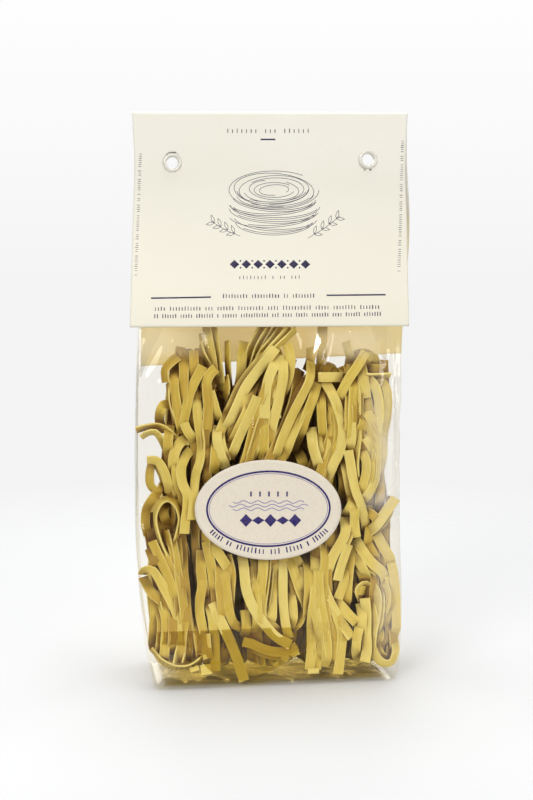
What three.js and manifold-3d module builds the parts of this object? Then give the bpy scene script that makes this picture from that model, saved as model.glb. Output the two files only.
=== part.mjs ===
// A clear gusseted bag of dry pasta nests, closed by a folded header card with two eyelets.
// The bag stands on its flat block bottom. Its neck is pinched flat inside the card's fold,
// an oval paper label sticks to its front, and the ribbons of pasta press out through the film.
//
// Millimetres. +Z is up, -Y is the front, and the origin is the middle of the base.
// Everything is drawn on a straight pack, and settle() then gives it the turn and the sway
// of one that was filled, clipped and stood up by hand.

import * as THREE from "three";
import { mergeVertices } from "three/addons/utils/BufferGeometryUtils.js";
import Module from "manifold-3d";

const wasm = await Module();
wasm.setup();

// ---------------------------------------------------------------- driving dimensions

const PACK_HEIGHT = 283; // from the base to the top of the card's fold
const GAP = 0.3; // between neighbouring pieces

const BAG_WIDTH = 130;
const BAG_DEPTH = 52; // between the creased front and back edges
const BASE_TAPER = 4; // how far each side draws in towards the base
const TAPER_HEIGHT = 60;
const BASE_ROUNDING = 3; // radius where the walls turn under
const FRONT_SHOULDER_Z = 147; // the front starts to close here
const BACK_SHOULDER_Z = 160; // and the back here
const NECK_Z = 248; // both lie flat on each other from here up
const NECK_THICK = 1;
const BODY_CREASE = 1.5; // depth of the gusset's crease where the bag is full
const CREASE_FADE = 6; // half depth of the bag under which the crease closes up

const PILLOW = 1.5; // how far a wide face crowns
const NEST_BULGE = 1.5; // how far each column of nests pushes the film out
const NEST_COLUMNS = 4;
const SWELL_FOOT = 25; // the faces reach their full swell over this height
const SWELL_TOP = 215; // and lose it by here

const TURN = 0.12; // radians that the base is turned against the card, left corner forwards
const SWAY = -3; // how far the belly hangs to the left
const SWAY_FOOT = 90; // it comes in over this height
const SWAY_TOP = [110, 240]; // and goes out between these

const CARD_WIDTH = 136;
const CARD_WAIST = 1; // how far each side draws in beside the eyelets
const CARD_WAIST_REACH = 20;
const CARD_THICK = 0.5;
const CARD_FRONT_Z = 178.5; // lower edge of the front panel
const CARD_BACK_Z = 158; // lower edge of the back panel, in its middle
const CARD_BACK_SKEW = 0.043; // slope of the back panel against the front one

const EYELET_X = 48.3;
const EYELET_LEFT_Z = 258;
const EYELET_RIGHT_Z = 259.7;
const EYELET_BORE = 2.9; // radii
const EYELET_TUBE = 3.2;
const EYELET_FLANGE = 4.6;
const EYELET_ROLL = 0.7; // how far the rolled flange stands up
const EYELET_SIDES = 24;

const LABEL_WIDTH = 72;
const LABEL_HEIGHT = 49.5;
const LABEL_X = -1;
const LABEL_Z = 89.5;
const LABEL_TILT = -0.02; // radians, left end up
const LABEL_THICK = 0.3;
const LABEL_CLEAR = 1.5; // ribbons stop this far from the label and the card

const RIBBON_WIDTH = 5.2;
const RIBBON_PROUD = 1; // how far a ribbon stands out in the film
const RIBBON_UNEVEN = 0.4; // and how much that varies from one to the next
const RIBBON_SUNK = 1.4; // how far it reaches into the core
const RIBBON_STEPS = 6;
const RIBBONS_PER_NEST = 4;
const RIBBON_FAN = 0.9; // share of a nest's width that its ribbons' ends spread over
const RIBBON_BOW = 0.25; // share of that width that they bow outwards
const RIBBON_LEAN = 0.3; // and that one end may stray from the other
const NEST_ROWS = [
  { low: 6, high: 88 },
  { low: 94, high: 174 },
];
const SEED = 7;

const SLIVER = 0.05; // detail finer than this is smoothed off a joined solid

// ---------------------------------------------------------------- helpers

const clamp01 = (t) => Math.min(1, Math.max(0, t));
const smooth = (t) => {
  const c = clamp01(t);
  return c * c * (3 - 2 * c);
};
const mix = (a, b, t) => a + (b - a) * t;

// A seeded draw between -1 and 1.
let state = SEED;
function draw() {
  state = (state * 16807) % 2147483647;
  return (state / 2147483647) * 2 - 1;
}

function geometryOf(points, faces) {
  const g = new THREE.BufferGeometry().setFromPoints(points);
  g.setIndex(faces.flat());
  g.computeVertexNormals();
  return g;
}

// The walls between neighbouring rings of equally many points.
function ringWalls(rings) {
  const count = rings[0].length;
  const faces = [];
  for (let r = 0; r + 1 < rings.length; r++)
    for (let i = 0; i < count; i++) {
      const j = (i + 1) % count;
      const [a, b, c, d] = [r * count + i, r * count + j, (r + 1) * count + j, (r + 1) * count + i];
      faces.push([a, b, c], [a, c, d]);
    }
  return faces;
}

// A closed loft through rings, fanned shut at both ends.
function loft(rings) {
  const count = rings[0].length;
  const points = rings.flat();
  const faces = ringWalls(rings);
  const fan = (ring, first, turned) => {
    const hub = points.length;
    const middle = new THREE.Vector3();
    ring.forEach((p) => middle.addScaledVector(p, 1 / count));
    points.push(middle);
    for (let i = 0; i < count; i++) {
      const [a, b] = [first + i, first + ((i + 1) % count)];
      faces.push(turned ? [hub, b, a] : [hub, a, b]);
    }
  };
  fan(rings[0], 0, true);
  fan(rings.at(-1), (rings.length - 1) * count, false);
  return geometryOf(points, faces);
}

// Solids for joining and cutting.
function solidOf(geometry) {
  const bare = geometry.clone();
  bare.deleteAttribute("normal");
  bare.deleteAttribute("uv");
  const merged = mergeVertices(bare, 1e-4);
  const vertProperties = new Float32Array(merged.attributes.position.array);
  const triVerts = new Uint32Array(merged.index.array);
  return new wasm.Manifold(new wasm.Mesh({ numProp: 3, vertProperties, triVerts }));
}

function geometryFrom(solid) {
  const made = solid.getMesh();
  const g = new THREE.BufferGeometry();
  g.setAttribute("position", new THREE.BufferAttribute(made.vertProperties, 3));
  g.setIndex(new THREE.BufferAttribute(made.triVerts, 1));
  g.computeVertexNormals();
  return g;
}

// The largest shell alone, without slivers: sealed hollows are filled and loose scraps dropped.
function outerShell(solid) {
  const larger = (a, b) => (b.volume() > a.volume() ? b : a);
  const largest = (joined) => joined.decompose().reduce(larger);
  return largest(solidOf(geometryFrom(largest(solid).simplify(SLIVER))));
}

// ---------------------------------------------------------------- how the filled pack settles

function sway(z) {
  const [start, end] = SWAY_TOP;
  return SWAY * smooth(z / SWAY_FOOT) * (1 - smooth((z - start) / (end - start)));
}

// Moves every point of a straight piece to where it lies on the settled pack.
function settle(geometry) {
  const place = geometry.attributes.position;
  for (let i = 0; i < place.count; i++) {
    const z = place.getZ(i);
    const turn = TURN * clamp01(1 - z / NECK_Z);
    const [x, y] = [place.getX(i) + sway(z), place.getY(i)];
    place.setXYZ(i, x * Math.cos(turn) - y * Math.sin(turn), x * Math.sin(turn) + y * Math.cos(turn), z);
  }
  geometry.computeVertexNormals();
  return geometry;
}

// ---------------------------------------------------------------- the bag's form

const eyelets = [
  { name: "eyelet_left", x: -EYELET_X, z: EYELET_LEFT_Z },
  { name: "eyelet_right", x: EYELET_X, z: EYELET_RIGHT_Z },
];

function baseInset(z) {
  const t = clamp01(1 - z / BASE_ROUNDING);
  return BASE_ROUNDING * (1 - Math.sqrt(1 - t * t));
}

function halfWidth(z) {
  const t = clamp01(1 - z / TAPER_HEIGHT);
  return BAG_WIDTH / 2 - BASE_TAPER * t * t - baseInset(z);
}

// Distance of one face's creased edges from the middle plane.
function reach(z, shoulder) {
  const closing = smooth((z - shoulder) / (NECK_Z - shoulder));
  return mix(BAG_DEPTH / 2, NECK_THICK / 2, closing) - baseInset(z);
}

function swell(z) {
  return smooth(z / SWELL_FOOT) * (1 - smooth((z - FRONT_SHOULDER_Z) / (SWELL_TOP - FRONT_SHOULDER_Z)));
}

// The film lies flat under the label, which is stiffer than the film.
function underLabel(x, z) {
  const r = Math.hypot((x - LABEL_X) / LABEL_WIDTH, (z - LABEL_Z) / LABEL_HEIGHT) * 2;
  return 1 - smooth((r - 1.05) / 0.35);
}

function bulge(x, z, isFront) {
  const across = clamp01(1 - (x / halfWidth(z)) ** 2);
  const columns = 0.5 - 0.5 * Math.cos((2 * Math.PI * NEST_COLUMNS * (x + BAG_WIDTH / 2)) / BAG_WIDTH);
  const pushed = isFront ? mix(columns, 1, underLabel(x, z)) : columns;
  return swell(z) * (PILLOW * across + NEST_BULGE * pushed * Math.sqrt(across));
}

const frontY = (x, z) => -reach(z, FRONT_SHOULDER_Z) - bulge(x, z, true);
const backY = (x, z) => reach(z, BACK_SHOULDER_Z) + bulge(x, z, false);

// How far the gusset's crease is tucked in. The side panel keeps its width as the walls close.
function creaseDepth(z) {
  const half = (reach(z, FRONT_SHOULDER_Z) + reach(z, BACK_SHOULDER_Z)) / 2;
  const tucked = Math.sqrt(Math.max(0, (BAG_DEPTH / 2 - baseInset(z)) ** 2 - half * half));
  const open = clamp01((half - NECK_THICK / 2) / CREASE_FADE);
  return Math.max(BODY_CREASE * smooth(z / SWELL_FOOT), tucked) * open;
}

// The bag's outline at one height, counterclockwise from its front left edge.
function bagRing(z) {
  const FACE_STEPS = 20;
  const SIDE_STEPS = 3;
  const w = halfWidth(z);
  const crease = w - creaseDepth(z);
  const [front, back] = [frontY(w, z), backY(w, z)];
  const middle = (front + back) / 2;
  const ring = [];
  const line = (steps, point) => {
    for (let i = 0; i < steps; i++) {
      const [x, y] = point(i / steps);
      ring.push(new THREE.Vector3(x, y, z));
    }
  };
  line(FACE_STEPS, (t) => [mix(-w, w, t), frontY(mix(-w, w, t), z)]);
  line(SIDE_STEPS, (t) => [mix(w, crease, t), mix(front, middle, t)]);
  line(SIDE_STEPS, (t) => [mix(crease, w, t), mix(middle, back, t)]);
  line(FACE_STEPS, (t) => [mix(w, -w, t), backY(mix(w, -w, t), z)]);
  line(SIDE_STEPS, (t) => [mix(-w, -crease, t), mix(back, middle, t)]);
  line(SIDE_STEPS, (t) => [mix(-crease, -w, t), mix(middle, front, t)]);
  return ring;
}

function bagCore() {
  const BODY_STEP = 8;
  const FOLD_ROOM = CARD_THICK + NECK_THICK / 2 + 2 * GAP;
  const levels = [0, 0.4, 1.2, BASE_ROUNDING];
  for (let z = BODY_STEP; z <= NECK_Z; z += BODY_STEP) levels.push(z);
  levels.push(PACK_HEIGHT - FOLD_ROOM);
  return solidOf(loft(levels.map(bagRing)));
}

// A rod along Y, for boring through the neck and the card.
function rodAlongY(radius, x, z) {
  return solidOf(new THREE.CylinderGeometry(radius, radius, BAG_DEPTH, EYELET_SIDES).translate(x, 0, z));
}

function boreForEyelets(solid) {
  for (const { x, z } of eyelets) solid = solid.subtract(rodAlongY(EYELET_TUBE + GAP, x, z));
  return solid;
}

// ---------------------------------------------------------------- ribbons that show in the film

// A flat ribbon along points on the film, with the direction that faces out of the bag.
function ribbon(points, outward, proud) {
  const rings = points.map((p, i) => {
    const ahead = points[Math.min(i + 1, points.length - 1)];
    const behind = points[Math.max(i - 1, 0)];
    const along = ahead.clone().sub(behind).normalize();
    const side = along.clone().cross(outward).normalize();
    const lift = side.clone().cross(along);
    const corners = [
      [1, -RIBBON_SUNK],
      [-1, -RIBBON_SUNK],
      [-1, proud],
      [1, proud],
    ];
    return corners.map(([across, up]) =>
      p.clone().addScaledVector(side, (across * RIBBON_WIDTH) / 2).addScaledVector(lift, up),
    );
  });
  return solidOf(loft(rings));
}

// One nest's front or back: ribbons that run up it, lean a little and bow outwards.
function nestRibbons(columnX, row, isFront) {
  const width = BAG_WIDTH / NEST_COLUMNS;
  const surface = isFront ? frontY : backY;
  const outward = new THREE.Vector3(0, isFront ? -1 : 1, 0);
  const made = [];
  for (let k = 0; k < RIBBONS_PER_NEST; k++) {
    const share = (k + 0.5) / RIBBONS_PER_NEST - 0.5;
    const foot = columnX + width * share * RIBBON_FAN;
    const head = foot + width * RIBBON_LEAN * draw();
    const bow = width * RIBBON_BOW * (share + 0.3 * draw());
    const low = row.low + 4 * (1 + draw());
    const high = row.high - 5 * (1 + draw());
    const points = [];
    for (let i = 0; i <= RIBBON_STEPS; i++) {
      const t = i / RIBBON_STEPS;
      const z = mix(low, high, t);
      const limit = halfWidth(z) - RIBBON_WIDTH / 2 - 1;
      const x = Math.max(-limit, Math.min(limit, mix(foot, head, t) + bow * Math.sin(Math.PI * t)));
      points.push(new THREE.Vector3(x, surface(x, z), z));
    }
    made.push(ribbon(points, outward, RIBBON_PROUD + RIBBON_UNEVEN * draw()));
  }
  return made;
}

// Where no ribbon may stand out: under the label and behind both panels of the card.
function keptFlat() {
  const OVAL_SIDES = 40;
  const oval = new THREE.CylinderGeometry(1, 1, BAG_DEPTH / 2, OVAL_SIDES)
    .scale(LABEL_WIDTH / 2 + LABEL_CLEAR, 1, LABEL_HEIGHT / 2 + LABEL_CLEAR)
    .translate(LABEL_X, -BAG_DEPTH / 2, LABEL_Z);
  const panel = (lowerEdge, y) => {
    const bottom = lowerEdge - LABEL_CLEAR;
    const height = PACK_HEIGHT - bottom;
    return new THREE.BoxGeometry(BAG_WIDTH * 2, BAG_DEPTH, height).translate(0, y, bottom + height / 2);
  };
  const lowestBack = CARD_BACK_Z - (CARD_BACK_SKEW * CARD_WIDTH) / 2;
  return [oval, panel(CARD_FRONT_Z, -BAG_DEPTH / 2), panel(lowestBack, BAG_DEPTH / 2)].map(solidOf);
}

function filledBag() {
  const ribbons = [];
  for (const isFront of [true, false])
    for (const row of NEST_ROWS)
      for (let c = 0; c < NEST_COLUMNS; c++) {
        const columnX = BAG_WIDTH * ((c + 0.5) / NEST_COLUMNS - 0.5);
        ribbons.push(...nestRibbons(columnX, row, isFront));
      }
  let relief = wasm.Manifold.union(ribbons);
  for (const room of keptFlat()) relief = relief.subtract(room);
  const bag = boreForEyelets(bagCore().add(relief));
  return settle(geometryFrom(outerShell(bag)));
}

// ---------------------------------------------------------------- the header card

// The card lies on the fullest line of the bag behind it.
const panelY = (z, shoulder) => reach(z, shoulder) + (PILLOW + NEST_BULGE) * swell(z) + GAP + CARD_THICK / 2;

function cardHalfWidth(z) {
  const away = (z - EYELET_LEFT_Z) / CARD_WAIST_REACH;
  return CARD_WIDTH / 2 - CARD_WAIST * Math.exp(-away * away);
}

// The card's middle line at one share of its width, -1 at its left side and 1 at its right,
// from the front panel's lower edge over the fold to the back panel's lower edge.
function cardLine(share) {
  const PANEL_STEPS = 24;
  const FOLD_STEPS = 6;
  const foldRadius = NECK_THICK / 2 + GAP + CARD_THICK / 2;
  const foldZ = PACK_HEIGHT - foldRadius - CARD_THICK / 2;
  const backZ = CARD_BACK_Z + (share * CARD_BACK_SKEW * CARD_WIDTH) / 2;
  const line = [];
  const add = (z, y, skew) => line.push(new THREE.Vector3(share * cardHalfWidth(z) + skew, y, z));
  for (let i = 0; i < PANEL_STEPS; i++) {
    const z = mix(CARD_FRONT_Z, foldZ, i / PANEL_STEPS);
    add(z, -panelY(z, FRONT_SHOULDER_Z), 0);
  }
  for (let i = 0; i <= FOLD_STEPS; i++) {
    const turn = (Math.PI * i) / FOLD_STEPS;
    add(foldZ + foldRadius * Math.sin(turn), -foldRadius * Math.cos(turn), 0);
  }
  for (let i = 1; i <= PANEL_STEPS; i++) {
    const z = mix(foldZ, backZ, i / PANEL_STEPS);
    add(z, panelY(z, BACK_SHOULDER_Z), CARD_BACK_SKEW * (foldZ - z));
  }
  return line;
}

// The closed outline of the card's section, half its thickness to each side of the middle line.
function cardRing(share) {
  const line = cardLine(share);
  const offset = (side) =>
    line.map((p, i) => {
      const ahead = line[Math.min(i + 1, line.length - 1)];
      const behind = line[Math.max(i - 1, 0)];
      const [dy, dz] = [ahead.y - behind.y, ahead.z - behind.z];
      const step = (side * CARD_THICK) / 2 / Math.hypot(dy, dz);
      return new THREE.Vector3(p.x, p.y - dz * step, p.z + dy * step);
    });
  return [...offset(-1), ...offset(1).reverse()];
}

function headerCard() {
  const rings = [-1, 0, 1].map(cardRing);
  const count = rings[0].length;
  const faces = ringWalls(rings);
  // Each end is a strip between the inner and the outer line.
  const last = (rings.length - 1) * count;
  for (let i = 0; i + 1 < count / 2; i++) {
    const [a, b, c, d] = [i, i + 1, count - 2 - i, count - 1 - i];
    faces.push([a, c, b], [a, d, c], [last + a, last + b, last + c], [last + a, last + c, last + d]);
  }
  const card = boreForEyelets(solidOf(geometryOf(rings.flat(), faces)));
  return settle(geometryFrom(card));
}

// ---------------------------------------------------------------- eyelets and label

// A tube through card and film, with a rolled flange on each face of the card.
function eyelet() {
  const ROLL_STEPS = 6;
  const faceY = NECK_THICK / 2 + GAP + CARD_THICK + GAP / 2;
  const rollWidth = (EYELET_FLANGE - EYELET_BORE) / 2;
  const rollMiddle = (EYELET_FLANGE + EYELET_BORE) / 2;
  const roll = (side) => {
    const arc = [];
    for (let i = 0; i <= ROLL_STEPS; i++) {
      const turn = (Math.PI * i) / ROLL_STEPS;
      const radius = rollMiddle - rollWidth * Math.cos(turn);
      arc.push(new THREE.Vector2(radius, side * (faceY + EYELET_ROLL * Math.sin(turn))));
    }
    return arc;
  };
  const tube = [new THREE.Vector2(EYELET_TUBE, faceY), new THREE.Vector2(EYELET_TUBE, -faceY)];
  const profile = [...roll(1), ...tube, ...roll(-1).reverse()];
  profile.push(profile[0].clone());
  return new THREE.LatheGeometry(profile.reverse(), EYELET_SIDES);
}

// A thin oval of paper that follows the film.
function ovalLabel() {
  const SIDES = 48;
  const RINGS = 4;
  const disc = (lift) => {
    const points = [new THREE.Vector3(LABEL_X, frontY(LABEL_X, LABEL_Z) - lift, LABEL_Z)];
    for (let r = 1; r <= RINGS; r++)
      for (let i = 0; i < SIDES; i++) {
        const turn = (2 * Math.PI * i) / SIDES;
        const across = ((r / RINGS) * LABEL_WIDTH * Math.cos(turn)) / 2;
        const up = ((r / RINGS) * LABEL_HEIGHT * Math.sin(turn)) / 2;
        const x = LABEL_X + across * Math.cos(LABEL_TILT) - up * Math.sin(LABEL_TILT);
        const z = LABEL_Z + across * Math.sin(LABEL_TILT) + up * Math.cos(LABEL_TILT);
        points.push(new THREE.Vector3(x, frontY(x, z) - lift, z));
      }
    return points;
  };
  const [inner, outer] = [disc(GAP), disc(GAP + LABEL_THICK)];
  const at = (r, i) => 1 + (r - 1) * SIDES + (i % SIDES);
  const faces = [];
  const bothSides = (a, b, c) => faces.push([inner.length + a, inner.length + b, inner.length + c], [c, b, a]);
  for (let i = 0; i < SIDES; i++) {
    bothSides(0, at(1, i), at(1, i + 1));
    for (let r = 1; r < RINGS; r++) {
      bothSides(at(r, i), at(r + 1, i), at(r + 1, i + 1));
      bothSides(at(r, i), at(r + 1, i + 1), at(r, i + 1));
    }
    const [a, b] = [at(RINGS, i), at(RINGS, i + 1)];
    faces.push([inner.length + a, a, b], [inner.length + a, b, inner.length + b]);
  }
  return settle(geometryOf([...inner, ...outer], faces));
}

// ---------------------------------------------------------------- the pack

const look = (color, roughness, metalness) => new THREE.MeshStandardMaterial({ color, roughness, metalness });

function piece(name, geometry, material) {
  const mesh = new THREE.Mesh(geometry, material);
  mesh.name = name;
  return mesh;
}

const pack = new THREE.Group();
pack.add(piece("filled_bag", filledBag(), look(0xd2b765, 0.45, 0)));
pack.add(piece("header_card", headerCard(), look(0xf4efe0, 0.8, 0)));
pack.add(piece("oval_label", ovalLabel(), look(0xeadfcb, 0.7, 0)));
for (const { name, x, z } of eyelets) {
  const ring = piece(name, eyelet(), look(0xd8d6cf, 0.3, 1));
  ring.position.set(x, 0, z);
  pack.add(ring);
}

export default pack;
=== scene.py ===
# %% [markdown]
# # A bag of dry pasta nests
#
# The object is a clear film bag on a flat block bottom. It holds nests of dry ribbon pasta,
# an oval paper label sticks to its front, and a folded card with two eyelets closes its neck.
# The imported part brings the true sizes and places. Each cell below builds one piece or one
# finish around it. Lengths are in millimetres, and a mesh turns them into metres as it is made.

import math

import bpy
import numpy as np
from mathutils import Matrix, Vector


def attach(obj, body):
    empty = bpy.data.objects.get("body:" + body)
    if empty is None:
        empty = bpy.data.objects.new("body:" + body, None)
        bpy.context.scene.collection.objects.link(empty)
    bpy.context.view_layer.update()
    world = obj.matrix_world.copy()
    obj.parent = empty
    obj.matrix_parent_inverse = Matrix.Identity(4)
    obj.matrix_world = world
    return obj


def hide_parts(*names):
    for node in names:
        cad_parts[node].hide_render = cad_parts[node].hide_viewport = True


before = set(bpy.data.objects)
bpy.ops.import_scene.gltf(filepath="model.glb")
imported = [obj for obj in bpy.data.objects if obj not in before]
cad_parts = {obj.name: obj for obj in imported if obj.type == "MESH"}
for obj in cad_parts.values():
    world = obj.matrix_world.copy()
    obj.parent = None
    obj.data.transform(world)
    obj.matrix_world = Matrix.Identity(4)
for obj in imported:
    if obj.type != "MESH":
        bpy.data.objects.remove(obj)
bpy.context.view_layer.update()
MM = 0.001
BODY = "root"
print("nodes:", sorted(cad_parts))

# %% [markdown]
# ## The pack's own form
#
# The film, the card and the label all follow a few smooth formulas: how wide and how deep the
# bag is at a height, and how far its faces swell. Written once here, every later piece can
# ask for the surface it lies on. The pack is drawn straight, and `settled` then gives it the
# small turn and sway of a bag that was filled and stood up by hand.

# %% Sizes of the pack
PACK_HEIGHT = 283.0
BAG_WIDTH, BAG_DEPTH = 130.0, 52.0
BASE_TAPER, TAPER_HEIGHT, BASE_ROUNDING = 4.0, 60.0, 3.0
FRONT_SHOULDER, BACK_SHOULDER, NECK = 147.0, 160.0, 248.0
NECK_THICK, BODY_CREASE, CREASE_FADE = 1.0, 1.5, 6.0
PILLOW, NEST_BULGE, NEST_COLUMNS = 1.5, 1.5, 4
SWELL_FOOT, SWELL_TOP = 25.0, 215.0
TURN, SWAY, SWAY_FOOT, SWAY_TOP = 0.12, -3.0, 90.0, (110.0, 240.0)
GAP = 0.3

CARD_WIDTH, CARD_THICK, CARD_WAIST, CARD_WAIST_REACH = 136.0, 0.5, 1.0, 20.0
CARD_FRONT, CARD_BACK, CARD_SKEW = 178.5, 158.0, 0.043
EYELET_X, EYELET_Z = 48.3, {"eyelet_left": 258.0, "eyelet_right": 259.7}
EYELET_BORE, EYELET_TUBE, EYELET_FLANGE, EYELET_ROLL = 2.9, 3.2, 4.6, 0.7
FILM_HOLE, CARD_HOLE = 3.4, 3.5  # radii of the openings round an eyelet's tube

LABEL_WIDTH, LABEL_HEIGHT, LABEL_THICK = 72.0, 49.5, 0.3
LABEL_X, LABEL_Z, LABEL_TILT = -1.0, 89.5, -0.02
LABEL_HOLD, LABEL_FADE = 1.05, 0.35  # the film is flat out to this share of its reach, then eases


def smooth(t):
    t = np.clip(t, 0, 1)
    return t * t * (3 - 2 * t)


def mix(a, b, t):
    return a + (b - a) * t


def ramp(value, start, end):
    """Rises smoothly from 0 at start to 1 at end."""
    return smooth((value - start) / (end - start))


def base_inset(z):
    t = np.clip(1 - z / BASE_ROUNDING, 0, 1)
    return BASE_ROUNDING * (1 - np.sqrt(1 - t * t))


def half_width(z):
    return BAG_WIDTH / 2 - BASE_TAPER * np.clip(1 - z / TAPER_HEIGHT, 0, 1) ** 2 - base_inset(z)


def reach(z, shoulder):
    return mix(BAG_DEPTH / 2, NECK_THICK / 2, ramp(z, shoulder, NECK)) - base_inset(z)


def swell(z):
    return smooth(z / SWELL_FOOT) * (1 - ramp(z, FRONT_SHOULDER, SWELL_TOP))


def under_label(x, z):
    r = 2 * np.hypot((x - LABEL_X) / LABEL_WIDTH, (z - LABEL_Z) / LABEL_HEIGHT)
    return 1 - smooth((r - LABEL_HOLD) / LABEL_FADE)


def bulge(x, z, is_front):
    across = np.clip(1 - (x / half_width(z)) ** 2, 0, 1)
    columns = 0.5 - 0.5 * np.cos(2 * np.pi * NEST_COLUMNS * (x + BAG_WIDTH / 2) / BAG_WIDTH)
    pushed = mix(columns, 1, under_label(x, z)) if is_front else columns
    return swell(z) * (PILLOW * across + NEST_BULGE * pushed * np.sqrt(across))


def front_out(x, z):
    """How far the front face stands in front of the middle plane."""
    return reach(z, FRONT_SHOULDER) + bulge(x, z, True)


def back_out(x, z):
    return reach(z, BACK_SHOULDER) + bulge(x, z, False)


def crease_depth(z):
    """How far the gusset's crease is tucked in at mid depth."""
    half = (reach(z, FRONT_SHOULDER) + reach(z, BACK_SHOULDER)) / 2
    tucked = np.sqrt(np.maximum(0, (BAG_DEPTH / 2 - base_inset(z)) ** 2 - half * half))
    is_open = np.clip((half - NECK_THICK / 2) / CREASE_FADE, 0, 1)
    return np.maximum(BODY_CREASE * smooth(z / SWELL_FOOT), tucked) * is_open


def card_out(z, shoulder):
    """The middle of the card's thickness."""
    return reach(z, shoulder) + (PILLOW + NEST_BULGE) * swell(z) + GAP + CARD_THICK / 2


def card_half_width(z):
    from_eyelets = (z - EYELET_Z["eyelet_left"]) / CARD_WAIST_REACH
    return CARD_WIDTH / 2 - CARD_WAIST * np.exp(-(from_eyelets**2))


def in_eyelet(x, z, room):
    """Whether a place is closer than room to the middle of an eyelet."""
    return any(math.hypot(abs(x) - EYELET_X, z - level) < room for level in EYELET_Z.values())


def settled(points):
    """Points of the straight pack, where they lie on the settled one."""
    p = np.array(points, float)
    x, y, z = p[..., 0], p[..., 1], p[..., 2]
    x = x + SWAY * smooth(z / SWAY_FOOT) * (1 - ramp(z, *SWAY_TOP))
    turn = TURN * np.clip(1 - z / NECK, 0, 1)
    return np.stack([x * np.cos(turn) - y * np.sin(turn), x * np.sin(turn) + y * np.cos(turn), z], -1)


print("front of the belly stands out", round(float(front_out(0.0, 100.0)), 1), "mm")

# %% [markdown]
# ## The camera
#
# A lens is chosen by the distance at which the pack was looked at, because that sets how much
# the near parts grow against the far ones. The camera stands three quarters of a metre away,
# a little above the middle, and looks slightly down. The same numbers give `seen`, which says
# where a point appears in the camera's view, and `from_view`, its reverse, so that a ribbon
# may be laid out as it is seen and still lie on the real surface.

# %% Place the camera
VIEW_WIDTH, VIEW_HEIGHT = 533, 800
VIEW_DISTANCE = 750.0
CAMERA_AT = np.array([-25.2, -VIEW_DISTANCE, 224.9])
CAMERA_YAW, CAMERA_PITCH = 0.0312, 0.1125
FOCAL = 1500.25  # in the units of the view's width and height
SENSOR = 36.0
FOOT_LEVEL, VIEW_PASSES = 690.0, 8  # where the search for a mark starts, and its steps

ahead = np.array(
    [
        math.sin(CAMERA_YAW) * math.cos(CAMERA_PITCH),
        math.cos(CAMERA_YAW) * math.cos(CAMERA_PITCH),
        -math.sin(CAMERA_PITCH),
    ]
)
rightward = np.array([math.cos(CAMERA_YAW), -math.sin(CAMERA_YAW), 0.0])
upward = np.cross(rightward, ahead)

lens = bpy.data.cameras.new("camera")
lens.sensor_fit = "VERTICAL"
lens.sensor_height = SENSOR
lens.sensor_width = SENSOR * VIEW_WIDTH / VIEW_HEIGHT
lens.lens = FOCAL / VIEW_HEIGHT * SENSOR
lens.clip_start, lens.clip_end = 0.05, 20
camera = bpy.data.objects.new("camera", lens)
bpy.context.scene.collection.objects.link(camera)
turned = Matrix([[*map(float, row)] for row in np.stack([rightward, upward, -ahead], 1)])
camera.matrix_world = Matrix.Translation(Vector(CAMERA_AT * MM)) @ turned.to_4x4()
bpy.context.scene.camera = camera
bpy.context.scene.view_settings.view_transform = "Standard"


def seen(points):
    """Where settled points appear in the camera's view."""
    q = points - CAMERA_AT
    depth = q @ ahead
    across = VIEW_WIDTH / 2 + FOCAL * (q @ rightward) / depth
    down = VIEW_HEIGHT / 2 - FOCAL * (q @ upward) / depth
    return np.stack([across, down], -1)


def from_view(marks, out_of):
    """Straight x and z of marks in the camera's view, on the front that out_of(x, z) gives."""
    marks = np.array(marks, float)
    per_mm = FOCAL / VIEW_DISTANCE
    x, z = (marks[..., 0] - VIEW_WIDTH / 2) / per_mm, (FOOT_LEVEL - marks[..., 1]) / per_mm
    for _ in range(VIEW_PASSES):
        off = marks - seen(settled(np.stack([x, -out_of(x, z), z], -1)))
        x, z = x + off[..., 0] / per_mm, z - off[..., 1] / per_mm
    return np.stack([x, z], -1)


print("lens", round(lens.lens, 1), "mm")

# %% [markdown]
# ## Small tools
#
# `Look` lets a material be written as ordinary Python sums. `grow` adds one node of any kind
# to any tree. `plain_mesh` turns points and faces into a piece, and a few short functions list
# the faces of grids, fans, discs and closed bodies.

# %% Node and mesh helpers


def grow(tree, kind, values=None, settings=None):
    """Adds a node: its settings first, then the values or links of its inputs."""
    node = tree.nodes.new(kind)
    for name, value in (settings or {}).items():
        setattr(node, name, value)
    for key, value in (values or {}).items():
        value = getattr(value, "socket", value)
        if isinstance(value, bpy.types.NodeSocket):
            tree.links.new(value, node.inputs[key])
        else:
            node.inputs[key].default_value = value
    return node


class Wire:
    """An output socket that adds Math nodes when Python sums are done with it."""

    def __init__(self, tree, socket):
        self.tree, self.socket = tree, socket

    def math(self, operation, *others):
        node = grow(self.tree, "ShaderNodeMath", dict(enumerate(others)), {"operation": operation})
        return Wire(self.tree, node.outputs[0])

    def __add__(self, other):
        return self.math("ADD", self, other)

    __radd__ = __add__

    def __sub__(self, other):
        return self.math("SUBTRACT", self, other)

    def __rsub__(self, other):
        return self.math("SUBTRACT", other, self)

    def __mul__(self, other):
        return self.math("MULTIPLY", self, other)

    def __truediv__(self, other):
        return self.math("DIVIDE", self, other)

    def __pow__(self, other):
        return self.math("POWER", self, other)

    def size(self):
        return self.math("ABSOLUTE", self)

    def clamp(self):
        self.socket.node.use_clamp = True
        return self

    def between(self, low, high):
        """0 at low and 1 at high."""
        return ((self - low) / (high - low)).clamp()


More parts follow.
